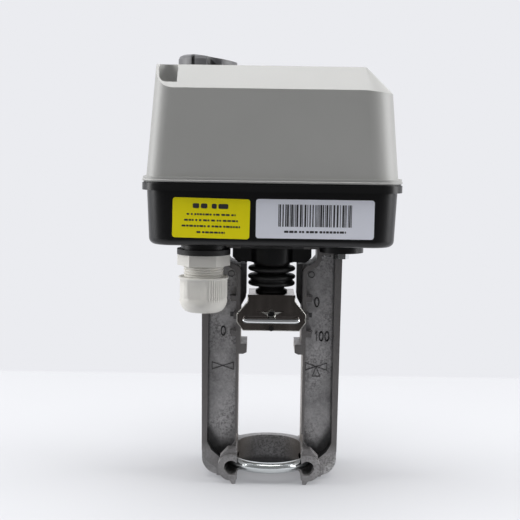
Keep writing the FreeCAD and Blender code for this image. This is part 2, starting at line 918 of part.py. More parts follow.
def make_knob():
    knob = (of("knob_across"), of("knob_along"))
    radius, low, high = of("knob_radius"), of("knob_low"), of("knob_high")
    half_outline = [
        (0, low),
        (radius, low),
        (radius, high - 2.4),
        (radius - 0.8, high - 0.8),
        (radius - 2.6, high),
        (0, high),
    ]
    drum = turning("knob_drum", half_outline, *knob)
    bore = rod("knob_bore", of("shaft_radius") + 0.03, (*knob, low - OVERCUT), 5.5)
    across, along = knob
    slope_outline = [
        (across - 6, high),
        (across + 18, high - 4.0),
        (across + 18, high + 4),
        (across - 6, high + 4),
    ]
    tools = [bore, front_prism("knob_slope", slope_outline, along - 20, along + 20)]
    for flute in range(3):
        angle = math.radians(-75.0 + 120.0 * flute)
        spot = (across + of("flute_offset") * math.cos(angle), along + of("flute_offset") * math.sin(angle))
        tools.append(rod(f"knob_flute_{flute}", of("flute_radius"), (*spot, low - OVERCUT), 12))
    mark_rear = along - radius + 2.4
    tools.append(box("knob_mark", across - 7.8, across - 6.8, along - 20, mark_rear, low + 2, high + 1))
    node("knob", cut("knob_moulding", drum, tools))

    radius = of("shaft_radius")
    shaft = rod("shaft_bar", radius, (*knob, of("shaft_low")), of("knob_low") + 4 - of("shaft_low"))
    grip = cone("shaft_cone", radius, of("cone_radius"), (*knob, of("shaft_low")), of("cone_rise"))
    node("knob_shaft", fuse("knob_shaft_solid", [shaft, grip]))
    washer_low = of("knob_low") - of("washer_thick")
    node("thrust_washer", tube("washer", 7.5, radius + 0.1, (*knob, washer_low), of("washer_thick")))
    spring = tube("spring", 6.6, 4.6, (*knob, of("well_floor")), washer_low - of("well_floor"))
    node("knob_spring", spring)


def make_gland():
    gland = (of("gland_across"), of("gland_along"))
    ring_height = of("gland_boss_low") - of("gland_ring_low")
    ring_spot = (*gland, of("gland_ring_low"))
    radius = of("gland_ring_radius")
    node("gland_ring", tube("gland_washer", radius, of("gland_hole"), ring_spot, ring_height))

    thread = of("gland_thread")
    root = thread - 0.7
    points = [(of("gland_bore"), of("gland_thread_low")), (root, of("gland_thread_low"))]
    for crest in range(10):
        level = of("gland_thread_low") + 1.5 * crest
        points += [(thread, level + 0.4), (thread, level + 0.8), (root, level + 1.2)]
    points += [(root, of("gland_hex_low")), (9.9, of("gland_hex_low") + 1)]
    points += [(9.9, of("gland_thread_top")), (of("gland_bore"), of("gland_thread_top"))]
    stem = turning("gland_tube", points, *gland)
    hex_height = of("gland_ring_low") - of("gland_hex_low")
    hexa = hexagon("gland_hex", of("gland_flats"), (*gland, of("gland_hex_low")), hex_height)
    entry = (*gland, of("gland_thread_low") - 1)
    bore = rod("gland_cable_hole", of("gland_bore"), entry, 40)
    seat = rod("gland_seat", of("seal_radius") + 0.1, entry, of("seal_high") + 1.1 - of("gland_thread_low"))
    node("gland_body", cut("gland_hollow", fuse("gland_solid", [stem, hexa]), [bore, seat]))

    seal_length = of("seal_high") - of("seal_low")
    seal_spot = (*gland, of("seal_low"))
    node("gland_seal", tube("seal", of("seal_radius"), of("seal_bore"), seal_spot, seal_length))

    outer = of("gland_nut_radius")
    points = [
        (of("gland_nut_mouth"), of("gland_nut_low")),
        (outer - 2.2, of("gland_nut_low") + 1.6),
        (outer - 0.7, of("gland_nut_waist") - 3),
        (outer, of("gland_nut_waist")),
        (outer, of("gland_nut_high") - 0.6),
        (outer - 0.6, of("gland_nut_high")),
        (thread + 0.1, of("gland_nut_high")),
        (thread + 0.1, of("gland_thread_low") - 0.5),
        (of("seal_radius") + 0.4, of("gland_thread_low") - 2),
        (of("seal_radius") + 0.4, of("seal_low") - 0.5),
        (of("seal_radius") - 1.5, of("seal_low") - 0.5),
        (of("seal_radius") - 1.5, of("gland_nut_low") + 0.6),
    ]
    node("gland_nut", turning("gland_cap", points, *gland))

    floor_top = of("base_low") + of("base_floor")
    nut = hexagon("locknut_solid", of("locknut_flats"), (*gland, floor_top), of("locknut_height"))
    hole = rod("locknut_bore", 9.95, (*gland, floor_top - 1), 6)
    node("gland_locknut", cut("locknut", nut, [hole]))

    plug = (of("plug_across"), of("gland_along"))
    disc = rod("plug_disc", of("plug_radius"), (*plug, of("plug_low")), of("base_low") - of("plug_low"))
    stud = rod("plug_stud_bar", of("plug_stud"), (*plug, of("base_low") - 1), 6.5)
    screw_hole = rod("plug_screw_hole", 1.6, (*plug, of("plug_low") - 1), 8)
    node("blanking_plug", cut("plug_drilled", fuse("plug_solid", [disc, stud]), [screw_hole]))
    head_spot = (*plug, of("plug_low") - of("plug_head"))
    head = hexagon("plug_screw_hex", of("plug_flats"), head_spot, of("plug_head"))
    shank = rod("plug_screw_shank", 1.5, (*plug, of("plug_low") - 1), 7)
    node("plug_screw", fuse("plug_screw_solid", [head, shank]))


def make_bellows():
    lobe = of("bellows_lobe")
    bore = of("bellows_bore")
    foot, neck, waist = of("bellows_foot"), of("bellows_neck"), of("bellows_waist")
    outline = [
        (bore, foot),
        (neck + 1.8, foot),
        (neck + 1.8, foot + 1.3),
        (neck, foot + 2.2),
        (neck, foot + 3.0),
        (lobe - 1.4, foot + 4.0),
        (lobe, foot + 4.9),
        (of("bellows_valley"), foot + 6.8),
        (lobe, foot + 8.5),
        (lobe - 1.6, foot + 9.8),
        (waist, foot + 10.5),
        (waist, foot + 11.1),
        (lobe - 1.6, foot + 12.0),
        (lobe, foot + 12.9),
        (lobe - 1.8, foot + 14.3),
        (10.0, foot + 15.2),
        (10.0, of("bellows_top")),
        (bore, of("bellows_top")),
    ]
    node("bellows", turning("bellows_turned", outline))

    ring_low = of("clamp_ring_low")
    ring = rod("clamp_ring", of("clamp_ring_radius"), (0, 0, ring_low), of("plate_low") - ring_low)
    width = of("ear_half_width")
    ears = front_prism(
        "clamp_ears",
        [
            (-width, of("plate_low")),
            (-width, of("ear_low") + 2.6),
            (-width + 2.6, of("ear_low")),
            (width - 2.6, of("ear_low")),
            (width, of("ear_low") + 2.6),
            (width, of("plate_low")),
        ],
        -of("ear_half_depth"),
        of("ear_half_depth"),
    )
    holes = [rod("clamp_bore", of("clamp_ring_bore"), (0, 0, of("clamp_ring_low") - 1), 10)]
    screws = []
    for side in (-1, 1):
        spot = side * of("ear_screw")
        seat_level = of("ear_low") + 1.2
        holes.append(rod("ear_screw_hole", 1.6, (spot, 0, of("ear_low") - 1), 10))
        seat_low = of("ear_low") - 3
        holes.append(rod("ear_screw_seat", 2.9, (spot, 0, seat_low), seat_level - seat_low))
        screws.append(rod("ear_screw_head", 2.7, (spot, 0, seat_level - 2), 2))
        screws.append(rod("ear_screw_shank", 1.5, (spot, 0, seat_level - 1), 8))
    node("bellows_clamp", cut("clamp_moulding", fuse("clamp_solid", [ring, ears]), holes))
    node("clamp_screws", fuse("clamp_screw_set", screws))

    floor_top = of("base_low") + of("base_floor")
    barrel_low = of("plate_low")
    barrel = rod("bush_barrel", of("bush_radius"), (0, 0, barrel_low), floor_top - barrel_low + 0.5)
    collar = rod("bush_collar", of("bush_flange"), (0, 0, floor_top), 1.5)
    hole = rod("bush_bore", of("screw_radius") + 0.06, (0, 0, of("plate_low") - 1), 14)
    node("guide_bush", cut("bush", fuse("bush_solid", [barrel, collar]), [hole]))


def make_stem():
    length = of("screw_high") - of("screw_low")
    node("lead_screw", rod("lead_screw_bar", of("screw_radius"), (0, 0, of("screw_low")), length))

    front, thick = of("bracket_front"), of("sheet_thick")
    outline = [
        (-of("bracket_top_half"), of("bracket_top")),
        (-of("bracket_top_half"), of("bracket_shoulder")),
        (-of("bracket_wide_half"), of("bracket_wide")),
        (-of("bracket_wide_half"), of("bracket_chamfer")),
        (-of("bracket_low_half"), of("bracket_low")),
        (of("bracket_low_half"), of("bracket_low")),
        (of("bracket_wide_half"), of("bracket_chamfer")),
        (of("bracket_wide_half"), of("bracket_wide")),
        (of("bracket_top_half"), of("bracket_shoulder")),
        (of("bracket_top_half"), of("bracket_top")),
    ]
    face = front_prism("bracket_face", outline, front, front + thick)
    half = of("bracket_flange_half")
    top, rear = of("bracket_top"), of("bracket_rear")
    flange = box("bracket_flange", -half, half, front, rear, top - 2, top)
    shelf_low = of("shelf_top") - 2
    half = of("shelf_half")
    shelf = box("bracket_shelf", -half, half, front, rear, shelf_low, of("shelf_top"))
    web_inner = half - thick
    webs = [
        box("web_left", -half, -web_inner, front, rear, shelf_low, top),
        box("web_right", web_inner, half, front, rear, shelf_low, top),
    ]
    half = of("window_half")
    window = box("bracket_window", -half, half, front - 1, front + thick, of("shelf_top"), of("window_high"))
    half = of("button_slot_half")
    button_slot = box("button_slot", -half, half, -half, rear + 1, shelf_low - 1, of("shelf_top") + 1)
    screw_hole = rod("bracket_screw_hole", of("screw_radius") + 0.05, (0, 0, top - 3), 4)
    sight_hole = rod("sight_hole", of("sight_radius") + 0.02, (0, front - 1, of("sight_level")), 4, "y")
    solid = fuse("bracket_solid", [face, flange, shelf] + webs)
    node("coupling_bracket", cut("bracket", solid, [window, button_slot, screw_hole, sight_hole]))

    nut_low = of("screw_low")
    nut = hexagon("stem_nut_solid", of("stem_nut_flats"), (0, 0, nut_low), top - 2 - nut_low)
    nut_bore = rod("stem_nut_bore", of("screw_radius") + 0.02, (0, 0, nut_low - 1), 9)
    node("stem_nut", cut("stem_nut_cut", nut, [nut_bore]))

    low = of("shelf_top") + 0.05
    lip = front - 1.2
    half = of("clip_half")
    bar = box("clip_lip", -half, half, of("clip_front"), lip, low, low + of("clip_bar"))
    half = of("clip_tongue_half")
    tongue = box("clip_tongue", -half, half, of("clip_front"), of("clip_rear"), low, low + of("clip_thick"))
    half = of("clip_fork_half")
    fork = box("clip_fork", -half, half, -half, of("clip_rear") + 1, low - 1, low + 3)
    node("stem_clip", cut("clip", fuse("clip_solid", [bar, tongue]), [fork]))

    pin = rod("lower_pin", of("pin_radius"), (0, front - 1.6, of("pin_level")), 1.6, "y")
    plug = rod("sight_plug", of("sight_radius"), (0, front - 0.4, of("sight_level")), 2.4, "y")
    node("bracket_pins", fuse("bracket_pin_set", [pin, plug]))


def involute_outline(teeth, module, phase):
    """Corner points of a spur gear, with straight flank pieces on the involute."""
    pressure = math.radians(of("pressure_angle").number)
    pitch = teeth * module / 2
    base = pitch * math.cos(pressure)
    tip = pitch + 0.9 * module
    root = pitch - 1.2 * module
    half = math.pi / (2 * teeth) - of("flank_play").number / pitch
    at_pitch = math.tan(pressure) - pressure
    flank = []
    steps = 4
    start = max(base, root)
    for step in range(steps + 1):
        radius = start + (tip - start) * step / steps
        angle = math.acos(min(1.0, base / radius))
        flank.append((radius, half + at_pitch - (math.tan(angle) - angle)))
    if root < base:
        flank.insert(0, (root, flank[0][1]))
    points = []
    for tooth in range(teeth):
        centre = phase + 2 * math.pi * tooth / teeth
        side = [(radius, centre - angle) for radius, angle in flank]
        side += [(radius, centre + angle) for radius, angle in reversed(flank)]
        points += [Vector(r * math.cos(a), r * math.sin(a), 0) for r, a in side]
    return points


def toothed_disc(name, teeth, module, phase, centre, low, height):
    points = involute_outline(int(of(teeth).number), of(module).number, phase)
    face = Part.Face(Part.makePolygon(points + points[:1]))
    made = doc.addObject("Part::Feature", name)
    made.Shape = face.extrude(Vector(0, 0, height.number))
    put(made, *centre, low)
    return made


def meshing_phase(leader_phase, leader, leader_teeth, follower, follower_teeth):
    """Phase of a gear that puts its gap where the leader has a tooth."""
    heading = math.atan2(
        (follower[1] - leader[1]).number,
        (follower[0] - leader[0]).number,
    )
    ratio = of(leader_teeth).number / of(follower_teeth).number
    lead = leader_phase - heading
    return heading + math.pi - lead * ratio + math.pi / of(follower_teeth).number


def make_gears():
    drive = (as_size(0), as_size(0))
    second = (of("second_across"), of("second_along"))
    first = (of("first_across"), of("first_along"))
    motor = (of("motor_across"), of("motor_along"))
    manual = (of("knob_across"), of("knob_along"))
    plate_top = of("lower_plate_low") + of("gear_plate_thick")
    coarse, middle, upper = of("coarse_low"), of("middle_low"), of("upper_low")
    tall, thin = of("coarse_height"), of("fine_height")
    gap = of("running_gap")
    rest = plate_top + 0.2

    hub_low = plate_top + of("hub_gap")
    hub_high = of("upper_plate_low") - of("hub_gap")
    wheel = toothed_disc("drive_teeth", "wheel_teeth", "coarse_module", 0.0, drive, coarse, tall)
    hub = rod("drive_hub", of("drive_hub_radius"), (0, 0, hub_low), hub_high - hub_low)
    journal_low = of("lower_plate_low") - 0.5
    journal_rise = of("upper_plate_low") + 2.4 - journal_low
    journal = rod("drive_journal", of("journal_radius"), (0, 0, journal_low), journal_rise)
    bore = rod("drive_bore", of("screw_radius") + gap, (0, 0, journal_low - 1), 30)
    node("drive_gear", cut("drive_bored", fuse("drive_solid", [wheel, hub, journal]), [bore]))
    for word, low in (("lower", of("lower_plate_low") - 0.7), ("upper", of("upper_plate_low"))):
        inner = of("journal_radius") + gap
        node(f"bearing_{word}", tube(f"bearing_ring_{word}", of("bearing_radius"), inner, (0, 0, low), 2.7))

    phase = meshing_phase(0.0, drive, "wheel_teeth", second, "pinion_teeth")
    pinion = toothed_disc("second_pinion", "pinion_teeth", "coarse_module", phase, second, coarse, tall)
    wheel = toothed_disc("second_wheel", "wheel_teeth", "fine_module", 0.0, second, middle, thin)
    hub = rod("second_hub", 5.0, (*second, rest), middle - rest + 0.5)
    bore = rod("second_bore", of("axle_radius") + gap, (*second, rest - 1), 30)
    node("gear_second", cut("second_bored", fuse("second_solid", [pinion, wheel, hub]), [bore]))

    phase = meshing_phase(0.0, second, "wheel_teeth", first, "pinion_teeth")
    pinion = toothed_disc("first_pinion", "pinion_teeth", "fine_module", phase, first, middle, thin)
    wheel = toothed_disc("first_wheel", "wheel_teeth", "fine_module", 0.0, first, upper, thin)
    hub = rod("first_hub", 4.0, (*first, rest), upper - rest + 0.5)
    bore = rod("first_bore", of("axle_radius") + gap, (*first, rest - 1), 30)
    node("gear_first", cut("first_bored", fuse("first_solid", [pinion, wheel, hub]), [bore]))

    for word, spot in (("first", first), ("second", second)):
        length = of("upper_plate_low") - plate_top
        node(f"axle_{word}", rod(f"axle_{word}_bar", of("axle_radius"), (*spot, plate_top), length))

    phase = meshing_phase(0.0, first, "wheel_teeth", motor, "pinion_teeth")
    pinion = toothed_disc("motor_pinion", "pinion_teeth", "fine_module", phase, motor, upper, thin)
    can_low = of("upper_plate_low") + of("gear_plate_thick")
    radius = of("motor_shaft_radius")
    spindle = rod("motor_spindle", radius, (*motor, upper - 0.8), can_low + of("can_height") - 0.4 - upper)
    magnet = rod("motor_magnet", of("rotor_radius"), (*motor, can_low + 3), of("can_height") - 6)
    node("motor_rotor", fuse("rotor_solid", [pinion, spindle, magnet]))

    can = rod("motor_can", of("can_radius"), (*motor, can_low), of("can_height"))
    wall = of("can_wall")
    cavity = rod("motor_cavity", of("can_cavity"), (*motor, can_low + wall), of("can_height") - 2 * wall)
    hole_rise = of("can_height") - wall / 2 + 1
    spindle_hole = rod("motor_spindle_hole", radius + gap, (*motor, can_low - 1), hole_rise)
    lugs = []
    lug_holes = []
    screws = []
    for side in (-1, 1):
        reach = side * of("ear_reach") / 1.41421356
        spot = (motor[0] + reach, motor[1] - reach)
        lugs.append(rod("motor_lug", 4.2, (*spot, can_low), 2.5))
        lug_holes.append(rod("motor_lug_hole", 1.8, (*spot, can_low - 1), 5))
        screws.append(rod("motor_screw_head", 3.0, (*spot, can_low + 2.5), 2.0))
        screws.append(rod("motor_screw_shank", 1.5, (*spot, can_low - 2), 5))
    hollows = [cavity, spindle_hole] + lug_holes
    node("motor_stator", cut("stator_hollow", fuse("stator_solid", [can] + lugs), hollows))
    node("motor_screws", fuse("motor_screw_set", screws))

    phase = meshing_phase(0.0, drive, "wheel_teeth", manual, "manual_teeth")
    wheel = toothed_disc("manual_teeth_ring", "manual_teeth", "coarse_module", phase, manual, coarse, tall)
    hub_high = of("manual_hub_high")
    hub = rod("manual_hub", of("manual_hub_radius"), (*manual, rest), hub_high - rest)
    stub = of("stub_radius")
    bore = rod("manual_bore", stub + gap, (*manual, rest - 1), 147.2 - rest + 1)
    pit_low = of("shaft_low") - 2.7
    slope = (of("cone_radius") - stub) / of("cone_rise")
    pit_rise = hub_high + 1 - pit_low
    pit = cone("manual_pit", stub + 0.16, stub + 0.16 + slope * pit_rise, (*manual, pit_low), pit_rise)
    node("manual_gear", cut("manual_bored", fuse("manual_solid", [wheel, hub]), [bore, pit]))
    node("manual_stub", rod("manual_stub_bar", stub, (*manual, plate_top), 7.5))

    outline = [(-52, -16.5), (-12, -16.5), (-12, -36), (50, -36), (50, 14)]
    outline += [(56.5, 14), (56.5, 46), (51.5, 51), (-6, 51), (-6, 41), (-52, 41)]
    for word, low in (("lower", of("lower_plate_low")), ("upper", of("upper_plate_low"))):
        high = low + of("gear_plate_thick")
        solid = flat_prism(f"gear_plate_{word}_blank", outline, low, high)
        holes = [rod(f"bearing_seat_{word}", of("bearing_radius") + 0.03, (0, 0, low - 1), 4)]
        if word == "upper":
            holes.append(rod("rotor_pass", 8.0, (*motor, low - 1), 4))
            holes.append(rod("shaft_pass", 6.5, (*manual, low - 1), 4))
            for side in (-1, 1):
                reach = side * of("ear_reach") / 1.41421356
                holes.append(rod("lug_thread", 1.6, (motor[0] + reach, motor[1] - reach, low - 1), 4))
        node(f"gear_plate_{word}", cut(f"gear_plate_{word}_cut", solid, holes))
    posts = [
        rod("pillar", of("pillar_radius"), (across, along, plate_top), of("upper_plate_low") - plate_top)
        for across, along in PILLARS
    ]
    node("pillars", fuse("pillar_set", posts))
    screwed = [(across, along) for across, along in PILLARS if along < 40]
    heads = [rod("pillar_head", 2.9, (across, along, can_low), 2.2) for across, along in screwed]
    node("pillar_screws", fuse("pillar_heads", heads))


def make_guide():
    plate_top = of("upper_plate_low") + of("gear_plate_thick")
    along = of("rod_along")
    radius = of("rod_radius")
    node("guide_rod", rod("guide_rod_bar", radius, (0, along, plate_top), of("rod_high") - plate_top))
    low, high = of("arm_low"), of("arm_low") + of("arm_height")
    pieces = [
        rod("arm_hub", 8.0, (0, 0, low), of("arm_height")),
        rod("arm_eye", 5.0, (0, along, low), of("arm_height")),
        box("arm_bar", -4, 4, 0, along, low, high),
    ]
    holes = [
        rod("arm_screw_hole", of("screw_radius") + 0.02, (0, 0, low - 1), 8),
        rod("arm_rod_hole", radius + 0.08, (0, along, low - 1), 8),
    ]
    node("guide_arm", cut("arm", fuse("arm_solid", pieces), holes))

    front, depth = of("switch_front"), of("switch_depth")
    rear = front + depth
    for word, level in (("lower", plate_top + 2), ("upper", of("arm_low") + 16.0)):
        body = box(f"switch_{word}_case", -9.0, 6.0, front, rear, level, level + 8)
        lever = box(f"switch_{word}_lever", -9.0, 4.0, front - 0.6, front, level + 5.4, level + 6.4)
        node(f"limit_switch_{word}", fuse(f"switch_{word}", [body, lever]))
    back = box("switch_sheet", -10, 7, rear, rear + 1.2, plate_top, of("rod_high"))
    foot = box("switch_foot", -10, 3, rear, rear + 9, plate_top, plate_top + 1.2)
    node("switch_bracket", fuse("switch_support", [back, foot]))
    sensor = box("sensor_case", -13.5, -8.5, 9.0, 21.0, plate_top, plate_top + 36)
    groove = box("sensor_groove", -10.0, -7.5, 14.0, 16.0, plate_top + 3, plate_top + 33)
    node("position_sensor", cut("sensor", sensor, [groove]))


def make_electronics():
    left, right, front, rear = of("board_left"), of("board_right"), of("board_front"), of("board_rear")
    low, top = of("board_low"), of("board_low") + of("board_thick")
    board = box("board_sheet", left, right, front, rear, low, top)
    pass_hole = rod("board_pass", 7.0, (of("knob_across"), of("knob_along"), low - 1), 4)
    node("circuit_board", cut("board", board, [pass_hole]))
    plate_top = of("upper_plate_low") + of("gear_plate_thick")
    spots = [(left + 4, -12.0), (right - 4, -12.0), (left + 4, rear - 18), (right - 5, rear - 10)]
    posts = [rod("standoff", 2.5, (across, along, plate_top), low - plate_top) for across, along in spots]
    node("standoffs", fuse("standoff_set", posts))

    block = box("terminal_case", left + 2, right - 4, front + 1, front + 11, top, top + 12)
    slots = []
    for way in range(6):
        across = left + 4.6 + 4.9 * way
        slots.append(box("terminal_mouth", across, across + 3.2, front, front + 5, top + 2, top + 6))
        slots.append(rod("terminal_screw_well", 1.6, (across + 1.6, front + 6.5, top + 7), 6))
    node("terminal_block", cut("terminals", block, slots))
    relays = [
        box("relay", left + 3, left + 18, along, along + 19, top, top + 15)
        for along in (rear - 42, rear - 21)
    ]
    node("relays", fuse("relay_set", relays))
    cap_spot = (right - 8, rear - 12, top)
    node("motor_capacitor", rod("capacitor_can", 7.0, cap_spot, 26))
    switch_box = box("dip_case", right - 14, right - 4, rear - 34, rear - 28, top, top + 3.5)
    node("dip_switch", switch_box)
    leds = [rod("led", 1.5, (right - 12 + 5 * k, front + 16, top), 5) for k in range(2)]
    node("status_lights", fuse("led_set", leds))


def make_labels():
    slope = of("base_taper")
    for word, left, width in (("warning_label", -51.4, 40.0), ("rating_label", -9.2, 60.0)):
        made = doc.addObject("Part::Box", word + "_sheet")
        bind(made, "Length", width)
        bind(made, "Width", of("label_thick"))
        bind(made, "Height", of("label_height"))
        made.Placement = Placement(Vector(), Rotation(Vector(1, 0, 0), 1))
        made.setExpression(".Placement.Rotation.Angle", slope.formula)
        level = of("label_low")
        lean = Size(f"({level.formula} - sizes.base_low) * tan({slope.formula})", 0.0)
        put(made, left, of("base_front") - lean - of("label_thick") * 1.08, level)
        node(word, made)


def check_and_write():
    doc.recompute()
    faults = []
    for item in doc.Objects:
        if "Invalid" in item.State or "Error" in item.State:
            faults.append(f"{item.Label} state {item.State}")
    for label, item in NODES.items():
        shape = item.Shape
        if shape.isNull() or not shape.isValid() or shape.Volume <= 0:
            faults.append(f"{label} has no valid solid")
    if faults:
        raise RuntimeError("; ".join(faults))
    os.makedirs("parts", exist_ok=True)
    for label, item in NODES.items():
        item.Shape.exportStep(f"parts/{label}.step")
        print(label, round(item.Shape.Volume), len(item.Shape.Solids))


make_yoke()
make_clamp_bolt()
make_base()
make_cover()
make_knob()
make_gland()
make_bellows()
make_stem()
make_gears()
make_guide()
make_electronics()
make_labels()
check_and_write()
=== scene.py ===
import json
import math
import random

import bmesh
import bpy
from mathutils import Matrix, Vector


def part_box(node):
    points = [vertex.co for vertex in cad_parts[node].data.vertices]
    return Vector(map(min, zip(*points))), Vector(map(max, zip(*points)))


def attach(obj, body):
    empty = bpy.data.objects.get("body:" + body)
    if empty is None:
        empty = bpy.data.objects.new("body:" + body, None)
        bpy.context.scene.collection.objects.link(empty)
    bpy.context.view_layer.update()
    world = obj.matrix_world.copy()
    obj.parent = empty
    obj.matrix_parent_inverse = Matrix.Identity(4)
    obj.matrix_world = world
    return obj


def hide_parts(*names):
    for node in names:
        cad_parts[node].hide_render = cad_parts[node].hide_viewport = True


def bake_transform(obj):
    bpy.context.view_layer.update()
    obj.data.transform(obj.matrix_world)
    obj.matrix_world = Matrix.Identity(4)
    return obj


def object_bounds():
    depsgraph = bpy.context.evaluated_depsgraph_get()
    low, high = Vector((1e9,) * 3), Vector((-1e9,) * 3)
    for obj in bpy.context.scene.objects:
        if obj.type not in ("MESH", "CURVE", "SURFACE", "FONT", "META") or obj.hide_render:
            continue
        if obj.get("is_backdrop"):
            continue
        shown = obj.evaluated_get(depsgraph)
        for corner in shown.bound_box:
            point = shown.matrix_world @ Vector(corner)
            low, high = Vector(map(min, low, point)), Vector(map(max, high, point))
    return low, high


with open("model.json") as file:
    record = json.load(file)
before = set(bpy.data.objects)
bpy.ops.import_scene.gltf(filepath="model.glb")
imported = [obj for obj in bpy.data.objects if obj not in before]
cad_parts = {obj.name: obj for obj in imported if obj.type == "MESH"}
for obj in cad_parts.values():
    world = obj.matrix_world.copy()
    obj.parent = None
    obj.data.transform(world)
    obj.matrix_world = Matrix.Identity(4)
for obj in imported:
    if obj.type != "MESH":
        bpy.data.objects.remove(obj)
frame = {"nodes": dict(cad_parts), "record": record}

random.seed(7)
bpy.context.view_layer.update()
NODES = frame["nodes"]
MM = 0.001
BACKDROP = (0.831, 0.838, 0.871)


def box_mm(node):
    """The two corners of a node's box, in millimetres."""
    return [[value / MM for value in corner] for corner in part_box(node)]


def middle_mm(node):
    """X and Y of the middle of a node's box, in millimetres."""
    low, high = box_mm(node)
    return (low[0] + high[0]) / 2, (low[1] + high[1]) / 2


# ---------------------------------------------------------------- shader nodes

def shader(name, rough, metallic=0.0):
    """A new material; returns it with its node tree and Principled shader."""
    made = bpy.data.materials.new(name)
    made.use_nodes = True
    tree = made.node_tree
    principled = tree.nodes["Principled BSDF"]
    principled.inputs["Roughness"].default_value = rough
    principled.inputs["Metallic"].default_value = metallic
    return made, tree, principled


def object_point(tree, stretch=(1, 1, 1)):
    """The point in the object's own space, in metres."""
    coordinates = tree.nodes.new("ShaderNodeTexCoord")
    mapping = tree.nodes.new("ShaderNodeMapping")
    mapping.inputs["Scale"].default_value = stretch
    tree.links.new(coordinates.outputs["Object"], mapping.inputs["Vector"])
    return mapping.outputs["Vector"]


def split(tree, vector):
    """The X, Y and Z sockets of a vector."""
    made = tree.nodes.new("ShaderNodeSeparateXYZ")
    tree.links.new(vector, made.inputs[0])
    return made.outputs["X"], made.outputs["Y"], made.outputs["Z"]


def noise(tree, point, scale, detail=4.0, rough=0.55):
    made = tree.nodes.new("ShaderNodeTexNoise")
    made.inputs["Scale"].default_value = scale
    made.inputs["Detail"].default_value = detail
    made.inputs["Roughness"].default_value = rough
    tree.links.new(point, made.inputs["Vector"])
    return made.outputs["Fac"]


def ramp(tree, factor, stops):
    """A colour ramp through (place, colour) stops."""
    made = tree.nodes.new("ShaderNodeValToRGB")
    elements = made.color_ramp.elements
    while len(elements) < len(stops):
        elements.new(0.5)
    for element, (place, colour) in zip(elements, stops):
        element.position = place
        element.color = (*colour, 1.0)
    tree.links.new(factor, made.inputs["Fac"])
    return made.outputs["Color"]


def mixed(tree, factor, first, second):
    """The first colour where the factor is 0, the second where it is 1."""
    made = tree.nodes.new("ShaderNodeMix")
    made.data_type = "RGBA"
    tree.links.new(factor, made.inputs["Factor"])
    for socket, value in (("A", first), ("B", second)):
        target = [item for item in made.inputs if item.name == socket and item.type == "RGBA"][0]
        if isinstance(value, tuple):
            target.default_value = (*value, 1.0)
        else:
            tree.links.new(value, target)
    return [item for item in made.outputs if item.type == "RGBA"][0]


def multiplied(tree, first, second):
    """The product of two colours."""
    made = tree.nodes.new("ShaderNodeVectorMath")
    made.operation = "MULTIPLY"
    tree.links.new(first, made.inputs[0])
    tree.links.new(second, made.inputs[1])
    return made.outputs[0]


def math_node(tree, operation, *values):
    made = tree.nodes.new("ShaderNodeMath")
    made.operation = operation
    for socket, value in zip(made.inputs, values):
        if isinstance(value, (int, float)):
            socket.default_value = value
        else:
            tree.links.new(value, socket)
    return made.outputs[0]


def rising(tree, value, start, width):
    """0 below start, 1 above start plus width, a straight slope between."""
    made = tree.nodes.new("ShaderNodeMapRange")
    made.inputs["From Min"].default_value = start
    made.inputs["From Max"].default_value = start + width
    tree.links.new(value, made.inputs["Value"])
    return made.outputs[0]


def flipped(tree, mask):
    return math_node(tree, "SUBTRACT", 1.0, mask)


def falling(tree, value, start, width):
    """1 below start, 0 above start plus width, a straight slope between."""
    return flipped(tree, rising(tree, value, start, width))


def both(tree, *masks):
    """1 where all the masks are 1."""
    product = masks[0]
    for mask in masks[1:]:
        product = math_node(tree, "MULTIPLY", product, mask)
    return product


def either(tree, *masks):
    """The largest of the masks."""
    largest = masks[0]
    for mask in masks[1:]:
        largest = math_node(tree, "MAXIMUM", largest, mask)
    return largest


def bump(tree, principled, height, distance):
    made = tree.nodes.new("ShaderNodeBump")
    made.inputs["Strength"].default_value = 1.0
    made.inputs["Distance"].default_value = distance
    tree.links.new(height, made.inputs["Height"])
    tree.links.new(made.outputs["Normal"], principled.inputs["Normal"])


# ---------------------------------------------------------------- finishes

def grained(name, dark, light, rough, metallic, scale, depth):
    """The common finish: slow colour drift, a fine grain and uneven gloss."""
    made, tree, principled = shader(name, rough, metallic)
    point = object_point(tree)
    drift = noise(tree, point, 18.0, 3.0)
    grain = noise(tree, point, scale, 5.0)
    colour = ramp(tree, drift, [(0.3, dark), (0.7, light)])
    tree.links.new(colour, principled.inputs["Base Color"])
    spread = tree.nodes.new("ShaderNodeMapRange")
    spread.inputs["To Min"].default_value = rough * 0.85
    spread.inputs["To Max"].default_value = min(1.0, rough * 1.15)
    tree.links.new(grain, spread.inputs["Value"])
    tree.links.new(spread.outputs[0], principled.inputs["Roughness"])
    bump(tree, principled, grain, depth)
    return made


def brushed(name, dark, light, rough, stretch):
    """Rolled sheet or turned bar with fine lines in one direction."""
    made, tree, principled = shader(name, rough, 1.0)
    lines = noise(tree, object_point(tree, stretch), 260.0, 3.0)
    cloud = noise(tree, object_point(tree), 60.0, 4.0)
    tree.links.new(mixed(tree, cloud, dark, light), principled.inputs["Base Color"])
    gloss = ramp(tree, lines, [(0.3, (rough * 0.7,) * 3), (0.7, (min(1.0, rough * 1.4),) * 3)])
    tree.links.new(gloss, principled.inputs["Roughness"])
    bump(tree, principled, lines, 0.00002)
    return made


# Places on the yoke that its painted sheen, darker flange fronts and painted shade follow, in metres.
CRISP = 0.0002
RECESS_MIDDLE = 0.0264
RECESS_HALF_WIDTH = 0.0078
FLANGE_FRONT = -0.0116
RECESS_FOOT, RECESS_BACK = 0.0105, -0.0032
OUTER_WALL = 0.0329
MARKS_LOW, MARKS_HIGH, MARKS_STEP, MARKS_REACH = 0.0786, 0.1015, 0.0096, 0.0222
COLLAR_TOP, COLLAR_RADIUS = 0.0165, 0.0175
GUARD_REACH, GUARD_LOW = 0.0168, 0.0935


